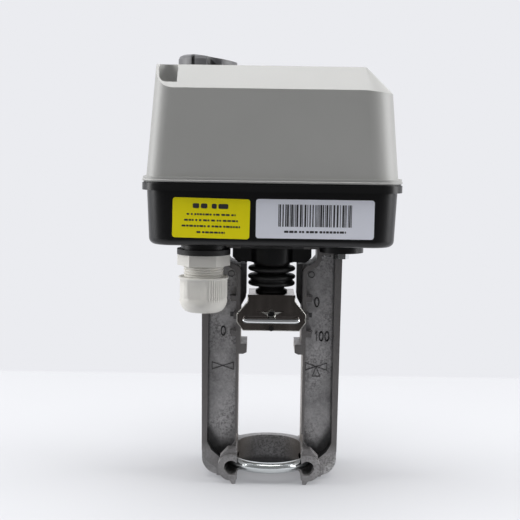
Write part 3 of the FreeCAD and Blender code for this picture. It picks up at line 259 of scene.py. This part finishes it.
def mottled(tree, point, broad, shade):
    """The casting's own colour: a broad mottle, a fine grain and specks in clusters."""
    greys = [(0.32, 0.24), (0.52, 0.43), (0.72, 0.60)]
    base = ramp(tree, broad, [(at, (shade * g, shade * g * 0.98, shade * g * 0.985)) for at, g in greys])
    grain = noise(tree, point, 900.0, 3.0, 0.6)
    base = multiplied(tree, base, ramp(tree, grain, [(0.30, (0.80,) * 3), (0.66, (1.10,) * 3)]))
    specks = falling(tree, noise(tree, point, 900.0, 4.0, 0.7), 0.42, 0.10)
    clusters = math_node(tree, "MULTIPLY", rising(tree, noise(tree, point, 42.0, 2.0, 0.5), 0.48, 0.14), 0.45)
    return mixed(tree, both(tree, specks, clusters), base, (0.060 * shade, 0.055 * shade, 0.052 * shade))


def cast_metal(name, shade):
    """Die-cast aluminium: mottled grey, a painted sheen on the sideways faces, darker flange fronts and
    painted shade in the recesses, the collar and on the guards.
    """
    made, tree, principled = shader(name, 0.5, 0.55)
    point = object_point(tree)
    broad = noise(tree, point, 38.0, 6.0, 0.62)
    fine = noise(tree, point, 420.0, 6.0, 0.6)
    colour = mottled(tree, point, broad, shade)
    normal = tree.nodes.new("ShaderNodeNewGeometry").outputs["Normal"]
    side = rising(tree, math_node(tree, "ABSOLUTE", split(tree, normal)[0]), 0.45, 0.5)
    x, along, height = split(tree, point)
    across = math_node(tree, "ABSOLUTE", x)
    from_middle = math_node(tree, "ABSOLUTE", math_node(tree, "SUBTRACT", across, RECESS_MIDDLE))
    in_recess = falling(tree, from_middle, RECESS_HALF_WIDTH, CRISP)
    set_back = rising(tree, along, FLANGE_FRONT, CRISP)
    # Painted sheen: faces that look sideways, outside the recesses, get a lighter brownish colour.
    side_sheen = both(tree, side, flipped(tree, in_recess), set_back)
    colour = mixed(tree, side_sheen, colour, (0.36 * shade, 0.325 * shade, 0.295 * shade))
    flange = both(tree, flipped(tree, set_back), flipped(tree, side))
    above_foot = either(tree, rising(tree, height, 0.008, 0.012), 0.45)
    colour = mixed(tree, both(tree, flange, above_foot), colour, (0.155, 0.148, 0.146))
    recess = both(tree, in_recess, set_back)
    # Painted shade: a near-black colour where the recesses, the collar and the guards lie in shade.
    colour = mixed(tree, painted_shade(tree, across, along, height, recess), colour, (0.035, 0.035, 0.036))
    tree.links.new(colour, principled.inputs["Base Color"])
    gloss = ramp(tree, fine, [(0.3, (0.36,) * 3), (0.7, (0.62,) * 3)])
    tree.links.new(gloss, principled.inputs["Roughness"])
    relief = math_node(tree, "ADD", math_node(tree, "MULTIPLY", broad, 2.0), fine)
    bump(tree, principled, relief, 0.00022)
    return made


def painted_shade(tree, across, along, height, recess):
    """Painted shade in the legs' recesses, in the collar and on the guards beside the bellows."""
    inside = both(tree, rising(tree, height, RECESS_FOOT, 0.0005), falling(tree, along, RECESS_BACK, 0.0004))
    outer = math_node(tree, "MULTIPLY", rising(tree, across, OUTER_WALL, 0.0008), 0.75)
    outwards = math_node(tree, "MAXIMUM", math_node(tree, "SUBTRACT", across, RECESS_MIDDLE), 0.0)
    level = math_node(tree, "SUBTRACT", height, math_node(tree, "MULTIPLY", outwards, 1.4))
    foot = falling(tree, level, 0.0150, 0.0060)
    marks = shadow_under_marks(tree, across, height)
    in_legs = both(tree, recess, inside, either(tree, outer, foot, marks))
    collar = both(
        tree,
        falling(tree, height, COLLAR_TOP, 0.0010),
        falling(tree, across, COLLAR_RADIUS, CRISP),
        rising(tree, along, 0.0, 0.001),
        either(tree, falling(tree, height, 0.0035, 0.0045), 0.48),
    )
    guards = both(tree, falling(tree, across, GUARD_REACH, CRISP), rising(tree, height, GUARD_LOW, CRISP))
    return math_node(tree, "MULTIPLY", either(tree, in_legs, collar, guards), 0.85)


def shadow_under_marks(tree, across, height):
    """A painted shadow band under each position mark."""
    steps = math_node(tree, "DIVIDE", math_node(tree, "SUBTRACT", height, MARKS_LOW + CRISP), MARKS_STEP)
    return both(
        tree,
        falling(tree, math_node(tree, "FRACT", steps), 0.27, 0.02),
        falling(tree, across, MARKS_REACH, 0.0003),
        rising(tree, height, MARKS_LOW, 0.0001),
        falling(tree, height, MARKS_HIGH, 0.0001),
    )


# Dark and light colour, roughness, metallic, and the scale and depth of the grain.
GRAINED = {
    # The U-bolt's zinc is the zinc below made darker: painted shade for the shadowed table it reflects.
    "bolt_zinc_painted_shade": ((0.58, 0.61, 0.61), (0.72, 0.75, 0.75), 0.17, 1.0, 500, 0.00001),
    "zinc": ((0.74, 0.76, 0.77), (0.88, 0.89, 0.90), 0.14, 1.0, 500, 0.00001),
    "black_plastic": ((0.0025, 0.0025, 0.003), (0.004, 0.004, 0.0045), 0.30, 0.0, 700, 0.00002),
    "cover_plastic": ((0.355, 0.355, 0.343), (0.385, 0.385, 0.372), 0.42, 0.0, 900, 0.00002),
    "knob_plastic": ((0.100, 0.100, 0.106), (0.135, 0.135, 0.142), 0.40, 0.0, 700, 0.00003),
    "gland_plastic": ((0.63, 0.615, 0.575), (0.70, 0.685, 0.64), 0.42, 0.0, 600, 0.00003),
    "rubber": ((0.008, 0.008, 0.008), (0.016, 0.016, 0.016), 0.48, 0.0, 350, 0.00005),
    "gear_nylon": ((0.72, 0.70, 0.61), (0.80, 0.78, 0.70), 0.46, 0.0, 240, 0.00004),
    "motor_steel": ((0.11, 0.115, 0.125), (0.16, 0.165, 0.175), 0.38, 0.5, 500, 0.00002),
    "board_green": ((0.010, 0.085, 0.035), (0.016, 0.12, 0.05), 0.30, 0.0, 200, 0.00002),
    "terminal_green": ((0.03, 0.24, 0.08), (0.05, 0.30, 0.11), 0.42, 0.0, 500, 0.00003),
    "component_black": ((0.012, 0.012, 0.013), (0.022, 0.022, 0.023), 0.45, 0.0, 600, 0.00003),
    "component_white": ((0.66, 0.66, 0.63), (0.74, 0.74, 0.71), 0.38, 0.0, 500, 0.00002),
    "light_lens": ((0.60, 0.05, 0.02), (0.75, 0.09, 0.04), 0.15, 0.0, 300, 0.00001),
    "yellow_paper": ((0.90, 0.80, 0.004), (0.95, 0.85, 0.006), 0.45, 0.0, 800, 0.00001),
    "white_paper": ((0.82, 0.84, 0.92), (0.86, 0.88, 0.96), 0.45, 0.0, 800, 0.00001),
    "ink": ((0.020, 0.020, 0.022), (0.035, 0.035, 0.038), 0.5, 0.0, 600, 0.00001),
}
# Dark and light colour, roughness, and the stretch of the lines along X, Y and Z.
BRUSHED = {
    "sheet_steel": ((0.17, 0.148, 0.135), (0.30, 0.27, 0.25), 0.15, (1, 1, 0.12)),
    "pressed_steel": ((0.45, 0.44, 0.41), (0.65, 0.64, 0.60), 0.25, (1, 1, 0.12)),
    "screw_steel": ((0.42, 0.42, 0.43), (0.58, 0.58, 0.59), 0.26, (1, 1, 6)),
    "bronze": ((0.50, 0.33, 0.14), (0.62, 0.43, 0.20), 0.32, (1, 1, 5)),
    "gear_brass": ((0.62, 0.45, 0.18), (0.74, 0.56, 0.26), 0.28, (1, 1, 5)),
}
SPECULAR = {"black_plastic": 0.48, "rubber": 0.40, "yellow_paper": 0.25, "white_paper": 0.30}

# The second cast finish is the first at about a third of its brightness: painted shade for the raised cast
# marks.
MATERIALS = {"cast": cast_metal("cast", 1.0), "cast_painted_shade": cast_metal("cast_painted_shade", 0.36)}
MATERIALS.update({name: grained(name, *values) for name, values in GRAINED.items()})
MATERIALS.update({name: brushed(name, *values) for name, values in BRUSHED.items()})
for name, level in SPECULAR.items():
    MATERIALS[name].node_tree.nodes["Principled BSDF"].inputs["Specular IOR Level"].default_value = level


def shade_flute():
    """Paints shade into the knob's front hollow, which has a slanting right edge, and into the groove left of
    it.
    """
    crisp, knob_front = 0.0006, -0.0120
    hollow_left, hollow_right, level = -0.0358, -0.0306, 0.2234
    groove_left, groove_right = -0.0445, -0.0424
    tree = MATERIALS["knob_plastic"].node_tree
    principled = tree.nodes["Principled BSDF"]
    colour = principled.inputs["Base Color"].links[0].from_socket
    x, y, z = split(tree, object_point(tree))
    slant = math_node(tree, "MULTIPLY", math_node(tree, "SUBTRACT", z, level), 1.1)
    edge = math_node(tree, "ADD", x, slant)
    in_front = falling(tree, y, knob_front, 0.0020)
    hollow = both(tree, rising(tree, x, hollow_left, crisp), falling(tree, edge, hollow_right, 0.0005))
    groove = both(tree, rising(tree, x, groove_left, crisp), falling(tree, x, groove_right, 0.0003))
    dark = both(tree, either(tree, hollow, groove), in_front)
    # Painted shade: near-black in the hollow and the groove on the knob's front.
    colour = mixed(tree, dark, colour, (0.008, 0.008, 0.009))
    tree.links.new(colour, principled.inputs["Base Color"])


shade_flute()

SLOT_OF = {item["node"]: item["material_slot"] for item in frame["record"]["subparts"]}
# The U-bolt takes the darker copy of zinc, as painted shade in its reflection.
OWN_FINISH = {"u_bolt": "bolt_zinc_painted_shade"}
for label, node in NODES.items():
    node.data.materials.clear()
    node.data.materials.append(MATERIALS[OWN_FINISH.get(label, SLOT_OF[label])])

# ---------------------------------------------------------------- mesh tools

def soften(piece, width):
    """Rounds the sharp edges and keeps the shading even."""
    rounding = piece.modifiers.new("rounding", "BEVEL")
    rounding.width = width * MM
    rounding.segments = 2
    rounding.limit_method = "ANGLE"
    rounding.angle_limit = math.radians(35.0)
    rounding.harden_normals = True


def piece_from(name, build, finish, body, smooth=True):
    """Makes an object from a bmesh that build() fills, in millimetres."""
    mesh = bpy.data.meshes.new(name)
    work = bmesh.new()
    build(work)
    bmesh.ops.scale(work, vec=(MM, MM, MM), verts=work.verts)
    bmesh.ops.recalc_face_normals(work, faces=work.faces)
    work.to_mesh(mesh)
    work.free()
    for face in mesh.polygons:
        face.use_smooth = smooth
    made = bpy.data.objects.new(name, mesh)
    bpy.context.scene.collection.objects.link(made)
    mesh.materials.append(MATERIALS[finish])
    if body is not None:
        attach(made, body)
    return made


def ring_surface(work, rings, closed_profile=True):
    """Faces between rings of points; each ring is a closed loop of equal length."""
    loops = [[work.verts.new(point) for point in ring] for ring in rings]
    count = len(loops[0])
    spans = len(loops) if closed_profile else len(loops) - 1
    for k in range(spans):
        first, second = loops[k], loops[(k + 1) % len(loops)]
        for n in range(count):
            work.faces.new((first[n], first[(n + 1) % count], second[(n + 1) % count], second[n]))
    return loops


def circle(middle, across, up, steps):
    """Evenly spaced points of an ellipse; across and up are its two half axes."""
    turns = [2 * math.pi * step / steps for step in range(steps)]
    return [(middle[0] + across * math.cos(turn), middle[1] + up * math.sin(turn)) for turn in turns]


def lathe(profile, centre, steps, wobble=None):
    """A closed (radius, height) profile turned about an upright axis."""
    def build(work):
        rings = []
        for radius, height in profile:
            ring = []
            for step in range(steps):
                angle = 2 * math.pi * step / steps
                reach = radius + (wobble(angle, radius, height) if wobble else 0.0)
                x, y = centre[0] + reach * math.cos(angle), centre[1] + reach * math.sin(angle)
                ring.append((x, y, height))
            rings.append(ring)
        ring_surface(work, rings)
    return build


def slab(work, outline, near, far):
    """An upright (x, z) outline with its two faces at y = near and y = far."""
    front = [work.verts.new((x, near, z)) for x, z in outline]
    back = [work.verts.new((x, far, z)) for x, z in outline]
    work.faces.new(front)
    work.faces.new(list(reversed(back)))
    for k in range(len(outline)):
        n = (k + 1) % len(outline)
        work.faces.new((front[n], front[k], back[k], back[n]))


def rounded_rectangle(left, right, low, high, radius, steps=6):
    """A rectangle's outline with quarter arcs of so many steps at its corners."""
    points = []
    corners = (
        (right - radius, high - radius, 0),
        (left + radius, high - radius, 90),
        (left + radius, low + radius, 180),
        (right - radius, low + radius, 270),
    )
    for x, y, start in corners:
        for step in range(steps + 1):
            angle = math.radians(start + 90 * step / steps)
            points.append((x + radius * math.cos(angle), y + radius * math.sin(angle)))
    return points


def wire(work, path, radius, steps):
    """A round bar along a list of points."""
    points = [Vector(item) for item in path]
    turns = [2 * math.pi * n / steps for n in range(steps)]
    rings = []
    side = None
    for k, here in enumerate(points):
        ahead = points[min(k + 1, len(points) - 1)] - points[max(k - 1, 0)]
        ahead.normalize()
        if side is None:
            side = ahead.cross(Vector((0, 0, 1)))
            if side.length < 0.1:
                side = ahead.cross(Vector((0, 1, 0)))
        side = (side - ahead * side.dot(ahead)).normalized()
        up = ahead.cross(side)
        rings.append([here + radius * (side * math.cos(turn) + up * math.sin(turn)) for turn in turns])
    loops = ring_surface(work, rings, closed_profile=False)
    work.faces.new(loops[0])
    work.faces.new(list(reversed(loops[-1])))


# ---------------------------------------------------------------- bellows

def bellows_profile():
    """Outer lobes with rounded tips, thin folds between them, then the bore."""
    low = box_mm("bellows")[0][2]
    height = 18.0
    tip_radius, tip_half_height = 1.5, 1.3
    bore = 5.3
    outer = [(8.6, 0.0), (8.8, 0.5), (8.5, 1.2), (7.2, 1.8), (7.0, 2.5), (7.5, 3.1)]
    lobes = [(4.9, 12.8, 11.3), (8.5, 13.0, 7.9), (12.9, 12.9, 9.9)]
    for middle, reach, fold in lobes:
        for turn in range(9):
            angle = math.radians(-90 + 22.5 * turn)
            tip = reach - tip_radius + tip_radius * math.cos(angle)
            outer.append((tip, middle + tip_half_height * math.sin(angle)))
        outer += [(fold + 0.4, middle + 1.6), (fold, middle + 1.8)]
    outer += [(10.0, 16.2), (10.0, height)]
    inner = [(bore, height), (bore, 0.0)]
    return [(radius, low + level) for radius, level in outer + inner]


bellows = piece_from("bellows_skin", lathe(bellows_profile(), (0, 0), 96), "rubber", None)
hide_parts("bellows")
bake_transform(bellows)

# ---------------------------------------------------------------- cable gland

NUT_LOW, NUT_HIGH = (corner[2] for corner in box_mm("gland_nut"))
FLAT_REACH = 11.55
FIRST_FLAT = 255.6


def fluting(angle, radius, height):
    """How far a point of the nut moves out: flat panels and ribbed sixths by turns, below a plain rim."""
    if radius < 12.8 or height > NUT_HIGH - 1.1 or height < NUT_LOW + 7.0:
        return 0.0
    turn = math.degrees(angle) - FIRST_FLAT
    sixth = round(turn / 60.0)
    if sixth % 2 == 0 or sixth == -1:
        lean = math.radians(turn - 60.0 * sixth)
        return min(-0.45, FLAT_REACH / math.cos(lean) - radius) + 0.05 * math.cos(angle * 90)
    return -0.24 + 0.24 * math.cos(angle * 64)


def nut_profile():
    """The domed foot, the fluted wall, the plain rim, then the bore with its step."""
    top = NUT_HIGH - NUT_LOW
    foot = [(6.6, 0.5), (7.4, 0.0), (8.4, 0.0), (9.8, 0.6), (11.0, 1.8), (12.0, 3.6), (12.7, 5.8)]
    wall = [(13.0, 7.2), (12.85, 7.7), (13.05, 8.2)] + [(13.1, level) for level in (9.4, 13.0, 17.2)]
    rim = [(13.15, 17.7), (13.25, 18.0), (13.25, top - 0.4), (12.8, top)]
    bore = [(10.6, top), (10.6, 8.9), (8.4, 7.4), (8.4, 2.4), (6.6, 2.4)]
    return [(radius, NUT_LOW + level) for radius, level in foot + wall + rim + bore]


nut_shape = lathe(nut_profile(), middle_mm("gland_body"), 480, fluting)
cap = piece_from("gland_cap", nut_shape, "gland_plastic", "cap")
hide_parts("gland_nut")

# ---------------------------------------------------------------- knob spring

def spring_coil(work):
    """An open coil about the knob's shaft, as high as the space it fills."""
    low, high = (corner[2] for corner in box_mm("knob_spring"))
    x, y = middle_mm("knob_shaft")
    turns, count = 3.0, 150
    coil_radius, wire_radius, inset = 5.6, 0.42, 0.45
    path = []
    for k in range(count + 1):
        part = k / count
        angle = 2 * math.pi * turns * part
        level = low + inset + (high - low - 2 * inset) * part
        path.append((x + coil_radius * math.cos(angle), y + coil_radius * math.sin(angle), level))
    wire(work, path, wire_radius, 10)


coil = piece_from("spring_coil", spring_coil, "screw_steel", None)
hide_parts("knob_spring")
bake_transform(coil)

# ---------------------------------------------------------------- stickers

LEAN = math.radians(2.4)
STICKER_THICK, STICKER_LIFT = 0.22, 0.05
PRINT_THICK, PRINT_LIFT = 0.05, 0.28
YELLOW_MIDDLE, YELLOW_ROLL = (-31.6, 145.0), 0.9
WHITE_MIDDLE, WHITE_ROLL = (21.1, 145.2), 0.0


def face_depth(level):
    """Y of the base's front face at a height."""
    return -44.8 - (level - 130.6) * math.tan(LEAN)


def lay_on_front(work, middle, roll, lift):
    """Moves a flat shape drawn about the origin onto the base's leaning front face."""
    bmesh.ops.transform(work, matrix=Matrix.Rotation(math.radians(roll), 4, "Y"), verts=work.verts)
    bmesh.ops.transform(work, matrix=Matrix.Rotation(LEAN, 4, "X"), verts=work.verts)
    bmesh.ops.translate(work, vec=(middle[0], face_depth(middle[1]) - lift, middle[1]), verts=work.verts)


def sticker(name, half_wide, half_tall, middle, roll, finish):
    def build(work):
        outline = rounded_rectangle(-half_wide, half_wide, -half_tall, half_tall, 1.4)
        slab(work, outline, -STICKER_THICK, 0.0)
        lay_on_front(work, middle, roll, STICKER_LIFT)
    return piece_from(name, build, finish, "frame", smooth=False)


yellow = sticker("yellow_sticker", 19.6, 10.2, YELLOW_MIDDLE, YELLOW_ROLL, "yellow_paper")
white = sticker("white_sticker", 30.0, 10.0, WHITE_MIDDLE, WHITE_ROLL, "white_paper")
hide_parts("warning_label")
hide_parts("rating_label")


def dashes(work, left, right, height, half_tall):
    """A row of short plain dashes of uneven length."""
    across = left
    while across < right:
        end = min(right, across + half_tall * random.choice((2.0, 2.6, 4.0)))
        dash = rounded_rectangle(across, end, height - half_tall, height + half_tall, half_tall * 0.5, 2)
        slab(work, dash, -PRINT_THICK, 0.0)
        across = end + half_tall * random.choice((0.7, 0.7, 1.8))


def yellow_marks(work):
    """Plain dashes where a notice would be: one heavy row and four light."""
    rows = [(6.2, 9.4, 1.25), (1.9, 12.4, 0.48), (-1.1, 13.6, 0.48), (-4.1, 14.8, 0.48), (-7.2, 7.2, 0.48)]
    for height, half_wide, half_tall in rows:
        dashes(work, -half_wide, half_wide, height, half_tall)
    lay_on_front(work, YELLOW_MIDDLE, YELLOW_ROLL, PRINT_LIFT)


def white_marks(work):
    """Upright lines of uneven width over a row of dashes, as a stand-in for a printed pattern."""
    across, right, low, high = -18.6, 18.2, -3.9, 7.4
    while across < right:
        width = random.choice((0.34, 0.34, 0.62, 0.9))
        slab(work, rounded_rectangle(across, across + width, low, high, 0.02, 1), -PRINT_THICK, 0.0)
        across += width + random.choice((0.28, 0.32, 0.55, 0.8))
    dashes(work, -15.6, 15.8, -6.5, 0.55)
    lay_on_front(work, WHITE_MIDDLE, WHITE_ROLL, PRINT_LIFT)


piece_from("yellow_print", yellow_marks, "ink", "frame", smooth=False)
piece_from("white_print", white_marks, "ink", "frame", smooth=False)

# ---------------------------------------------------------------- cast marks on the yoke

MARK_FRONT = -4.45


def stroke(work, points, width, depth, closed=True):
    """A raised line of straight runs on the recess floor."""
    pairs = list(zip(points, points[1:] + (points[:1] if closed else [])))
    for (x1, z1), (x2, z2) in pairs:
        start, end = Vector((x1, MARK_FRONT, z1)), Vector((x2, MARK_FRONT, z2))
        run = (end - start).normalized()
        across = Vector((-run.z, 0, run.x)) * width / 2
        along = run * width * 0.35
        corners = [start + across - along, end + across + along, end - across + along, start - across - along]
        lower = [work.verts.new(corner + Vector((0, depth, 0))) for corner in corners]
        upper = [work.verts.new(corner) for corner in corners]
        work.faces.new(list(reversed(upper)))
        for k in range(4):
            n = (k + 1) % 4
            work.faces.new((lower[k], lower[n], upper[n], upper[k]))


def cast_marks(work):
    """Scale numbers, two valve symbols and the ejector spots, all raised."""
    for middle in ((-26.0, 80.4), (24.9, 96.9)):
        stroke(work, circle(middle, 1.15, 2.45, 20), 0.6, 0.7)
    stroke(work, [(24.3, 79.6), (25.1, 80.5), (25.1, 75.6)], 0.6, 0.7, closed=False)
    for x in (27.6, 30.7):
        stroke(work, circle((x, 78.1), 1.05, 2.5, 20), 0.6, 0.7)
    bow = [(-5.8, 2.0), (-5.8, -2.0), (0, 0), (5.8, 2.0), (5.8, -2.0), (0, 0)]
    for middle, level in ((-26.1, 61.0), (25.2, 61.2)):
        stroke(work, [(middle + x, level + z) for x, z in bow], 0.45, 0.6)
    stroke(work, [(25.2, 61.0), (23.1, 55.8), (27.3, 55.8)], 0.45, 0.6)
    for x in (-21.9, 21.7):
        stroke(work, circle((x, 112.0), 1.6, 1.6, 24), 0.35, 0.5)


# The raised marks take the darker copy of the cast finish, as painted shade.
piece_from("cast_marks", cast_marks, "cast_painted_shade", "frame", smooth=False)

# ---------------------------------------------------------------- bracket

BRACKET_LOW, BRACKET_HIGH = box_mm("coupling_bracket")
BRACKET_FRONT = BRACKET_LOW[1]


def press_star(work):
    """The flat four-pointed star pressed round the sight hole."""
    middle = BRACKET_LOW[2] + 8.9
    hole = 2.05
    hole_turns = (-1.75, -0.8, 0.0, 0.8, 1.75, 2.1, 2.7, 3.6, 4.2)
    outer = [
        (-7.6, 1.9), (-2.3, 1.6), (0.0, 3.0), (2.3, 1.6), (7.6, 1.7),
        (2.9, 0.2), (1.9, -1.6), (-1.9, -1.6), (-2.9, 0.3),
    ]
    crest = [(x * 0.72, z * 0.72 + 0.15) for x, z in outer]
    inner = [(hole * math.sin(turn), hole * math.cos(turn) - 0.2) for turn in hole_turns]
    rings = [
        [(x, BRACKET_FRONT + 0.02, middle + z) for x, z in outer],
        [(x, BRACKET_FRONT - 0.55, middle + z) for x, z in crest],
        [(x, BRACKET_FRONT - 0.35, middle + z) for x, z in inner],
        [(x * 0.99, BRACKET_FRONT + 0.3, middle + z * 0.99) for x, z in inner],
    ]
    ring_surface(work, rings, closed_profile=False)


def bracket_edge_highlight(work):
    """A light bead that runs round the bracket's face along its sheared edge: a painted highlight."""
    inset, depth = 0.2, BRACKET_FRONT + 0.05
    wide, low, high = BRACKET_HIGH[0] - inset, BRACKET_LOW[2] + inset, BRACKET_HIGH[2] - inset
    half = [(12.6, high), (12.6, 98.5), (wide, 91.5), (wide, 87.1), (15.1, low)]
    path = [(x, depth, z) for x, z in half] + [(-x, depth, z) for x, z in reversed(half)]
    wire(work, path, 0.24, 8)


def clip_roll(work):
    """The rolled front edge of the spring clip, with its ends turned slightly up."""
    clip_front = box_mm("stem_clip")[0][1]
    depth, level, radius = clip_front + 1.0, 88.5, 1.35
    end = [(12.9, depth, level + 0.05), (14.0, depth + 0.05, level + 0.4), (14.6, depth + 0.2, level + 1.0)]
    path = [(-x, y, z) for x, y, z in reversed(end)]
    path += [(x, depth, level) for x in (-8.0, -4.0, 0.0, 4.0, 8.0)] + end
    wire(work, path, radius, 20)


# The star and the edge bead take the lighter pressed_steel: painted highlights on the star's crests and along
# the bracket's edge.
piece_from("bracket_press", press_star, "pressed_steel", "stem", smooth=False)
piece_from("bracket_edge_highlight", bracket_edge_highlight, "pressed_steel", "stem")
piece_from("clip_roll", clip_roll, "zinc", "clip")

# ---------------------------------------------------------------- cover beads and guard feet

def cover_beads(work):
    """Two fine beads round the cover's flange, the lower one thicker."""
    (left, front, low), (right, back, _) = box_mm("cover")
    for rise, inset, radius in ((0.7, 0.0, 0.50), (2.15, 0.35, 0.26)):
        outline = rounded_rectangle(left + inset, right - inset, front + inset, back - inset, 13.0, 12)
        wire(work, [(x, y, low + rise) for x, y in outline + outline[:1]], radius, 10)


def guard_feet(work):
    """The sloping lower ends of the two guards beside the bellows."""
    foot = [(13.7, 101.3), (13.9, 99.2), (16.6, 94.2), (17.0, 94.2), (17.0, 101.3)]
    for outline in ([(-x, z) for x, z in foot], list(reversed(foot))):
        slab(work, outline, -3.9, 3.9)


piece_from("cover_beads", cover_beads, "cover_plastic", "cover")
piece_from("guard_feet", guard_feet, "cast", "frame", smooth=False)

# ---------------------------------------------------------------- softer edges on the carried-over parts

# The width of the rounding in millimetres.
ROUNDED = {
    "cover": 0.5, "base_housing": 0.5, "yoke": 0.6, "coupling_bracket": 0.5, "bellows_clamp": 0.5,
    "gland_body": 0.3, "gland_ring": 0.4, "gland_locknut": 0.3, "blanking_plug": 0.5, "plug_screw": 0.25,
    "knob": 0.5, "knob_shaft": 0.2, "stem_clip": 0.9, "bracket_pins": 0.3, "cover_screws": 0.25,
    "clamp_nut_left": 0.3, "clamp_nut_right": 0.3, "motor_stator": 0.6, "motor_capacitor": 0.8,
    "relays": 0.5, "terminal_block": 0.3, "dip_switch": 0.2, "position_sensor": 0.3,
    "limit_switch_lower": 0.3, "limit_switch_upper": 0.3, "guide_arm": 0.4, "guide_rod": 0.4,
    "stem_nut": 0.3, "lead_screw": 0.4,
}
for label, width in ROUNDED.items():
    soften(NODES[label], width)

# ---------------------------------------------------------------- camera, floor and light

def add_camera(place, pitch, roll, lens):
    """A camera that looks along +Y, pitched down and rolled by so many degrees."""
    data = bpy.data.cameras.new("camera")
    data.sensor_width = 36.0
    data.lens = lens
    data.clip_end = 50.0
    camera = bpy.data.objects.new("camera", data)
    bpy.context.scene.collection.objects.link(camera)
    pitch, roll = math.radians(pitch), math.radians(roll)
    forward = Vector((0, math.cos(pitch), -math.sin(pitch)))
    right = Vector((1, 0, 0))
    up = right.cross(forward)
    right, up = right * math.cos(roll) + up * math.sin(roll), up * math.cos(roll) - right * math.sin(roll)
    columns = (right, up, -forward, Vector(place))
    camera.matrix_world = Matrix([[column[row] for column in columns] for row in range(3)] + [[0, 0, 0, 1]])
    bpy.context.scene.camera = camera


add_camera((-0.0065, -0.6409, 0.1888), 6.2, 0.85, 81.55)


def floor_material():
    """A white table; past its far edge it turns into the plain backdrop's grey."""
    made, tree, principled = shader("floor_white", 0.6)
    coordinates = tree.nodes.new("ShaderNodeTexCoord")
    along = split(tree, coordinates.outputs["Object"])[1]
    near = rising(tree, along, -0.42, 0.30)
    far = rising(tree, along, 0.262, 0.010)
    colour = mixed(tree, near, (0.05, 0.05, 0.05), (0.425, 0.428, 0.437))
    colour = mixed(tree, far, colour, (0.0, 0.0, 0.0))
    tree.links.new(colour, principled.inputs["Base Color"])
    glow = mixed(tree, near, (0.01, 0.01, 0.01), (0.165, 0.167, 0.177))
    glow = mixed(tree, far, glow, BACKDROP)
    tree.links.new(glow, principled.inputs["Emission Color"])
    principled.inputs["Emission Strength"].default_value = 1.0
    principled.inputs["Specular IOR Level"].default_value = 0.0
    return made


def add_floor(reach):
    """A square table just below the object; it is scenery and no part of the object."""
    mesh = bpy.data.meshes.new("floor")
    corners = [(-reach, -reach, 0), (reach, -reach, 0), (reach, reach, 0), (-reach, reach, 0)]
    mesh.from_pydata(corners, [], [(0, 1, 2, 3)])
    mesh.materials.append(floor_material())
    floor = bpy.data.objects.new("floor", mesh)
    floor.location.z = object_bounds()[0][2] - 0.0001
    bpy.context.scene.collection.objects.link(floor)
    floor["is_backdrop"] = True


add_floor(12.0)


def area_light(name, place, target, size, power):
    """A round lamp that shines from a place at a target."""
    data = bpy.data.lights.new(name, "AREA")
    data.shape = "DISK"
    data.size = size
    data.energy = power
    made = bpy.data.objects.new(name, data)
    made.location = place
    made.rotation_euler = (Vector(target) - Vector(place)).to_track_quat("-Z", "Y").to_euler()
    made.visible_camera = False
    bpy.context.scene.collection.objects.link(made)


area_light("top_light", (0.0, -0.05, 1.25), (0, 0, 0.1), 1.1, 13.6)
area_light("left_light", (-1.15, 0.0, 0.50), (0, 0, 0.12), 0.9, 11.0)
area_light("right_light", (1.15, -0.05, 0.50), (0, 0, 0.12), 0.9, 11.0)


def add_world():
    """A dim room behind the camera that brightens to the plain backdrop ahead."""
    world = bpy.data.worlds.new("studio")
    world.use_nodes = True
    bpy.context.scene.world = world
    tree = world.node_tree
    coordinates = tree.nodes.new("ShaderNodeTexCoord")
    ahead = rising(tree, split(tree, coordinates.outputs["Generated"])[1], -0.45, 0.80)
    background = tree.nodes["Background"]
    tree.links.new(mixed(tree, ahead, (0.24, 0.24, 0.245), BACKDROP), background.inputs["Color"])
    background.inputs["Strength"].default_value = 1.0


add_world()
bpy.context.scene.view_settings.view_transform = "Standard"
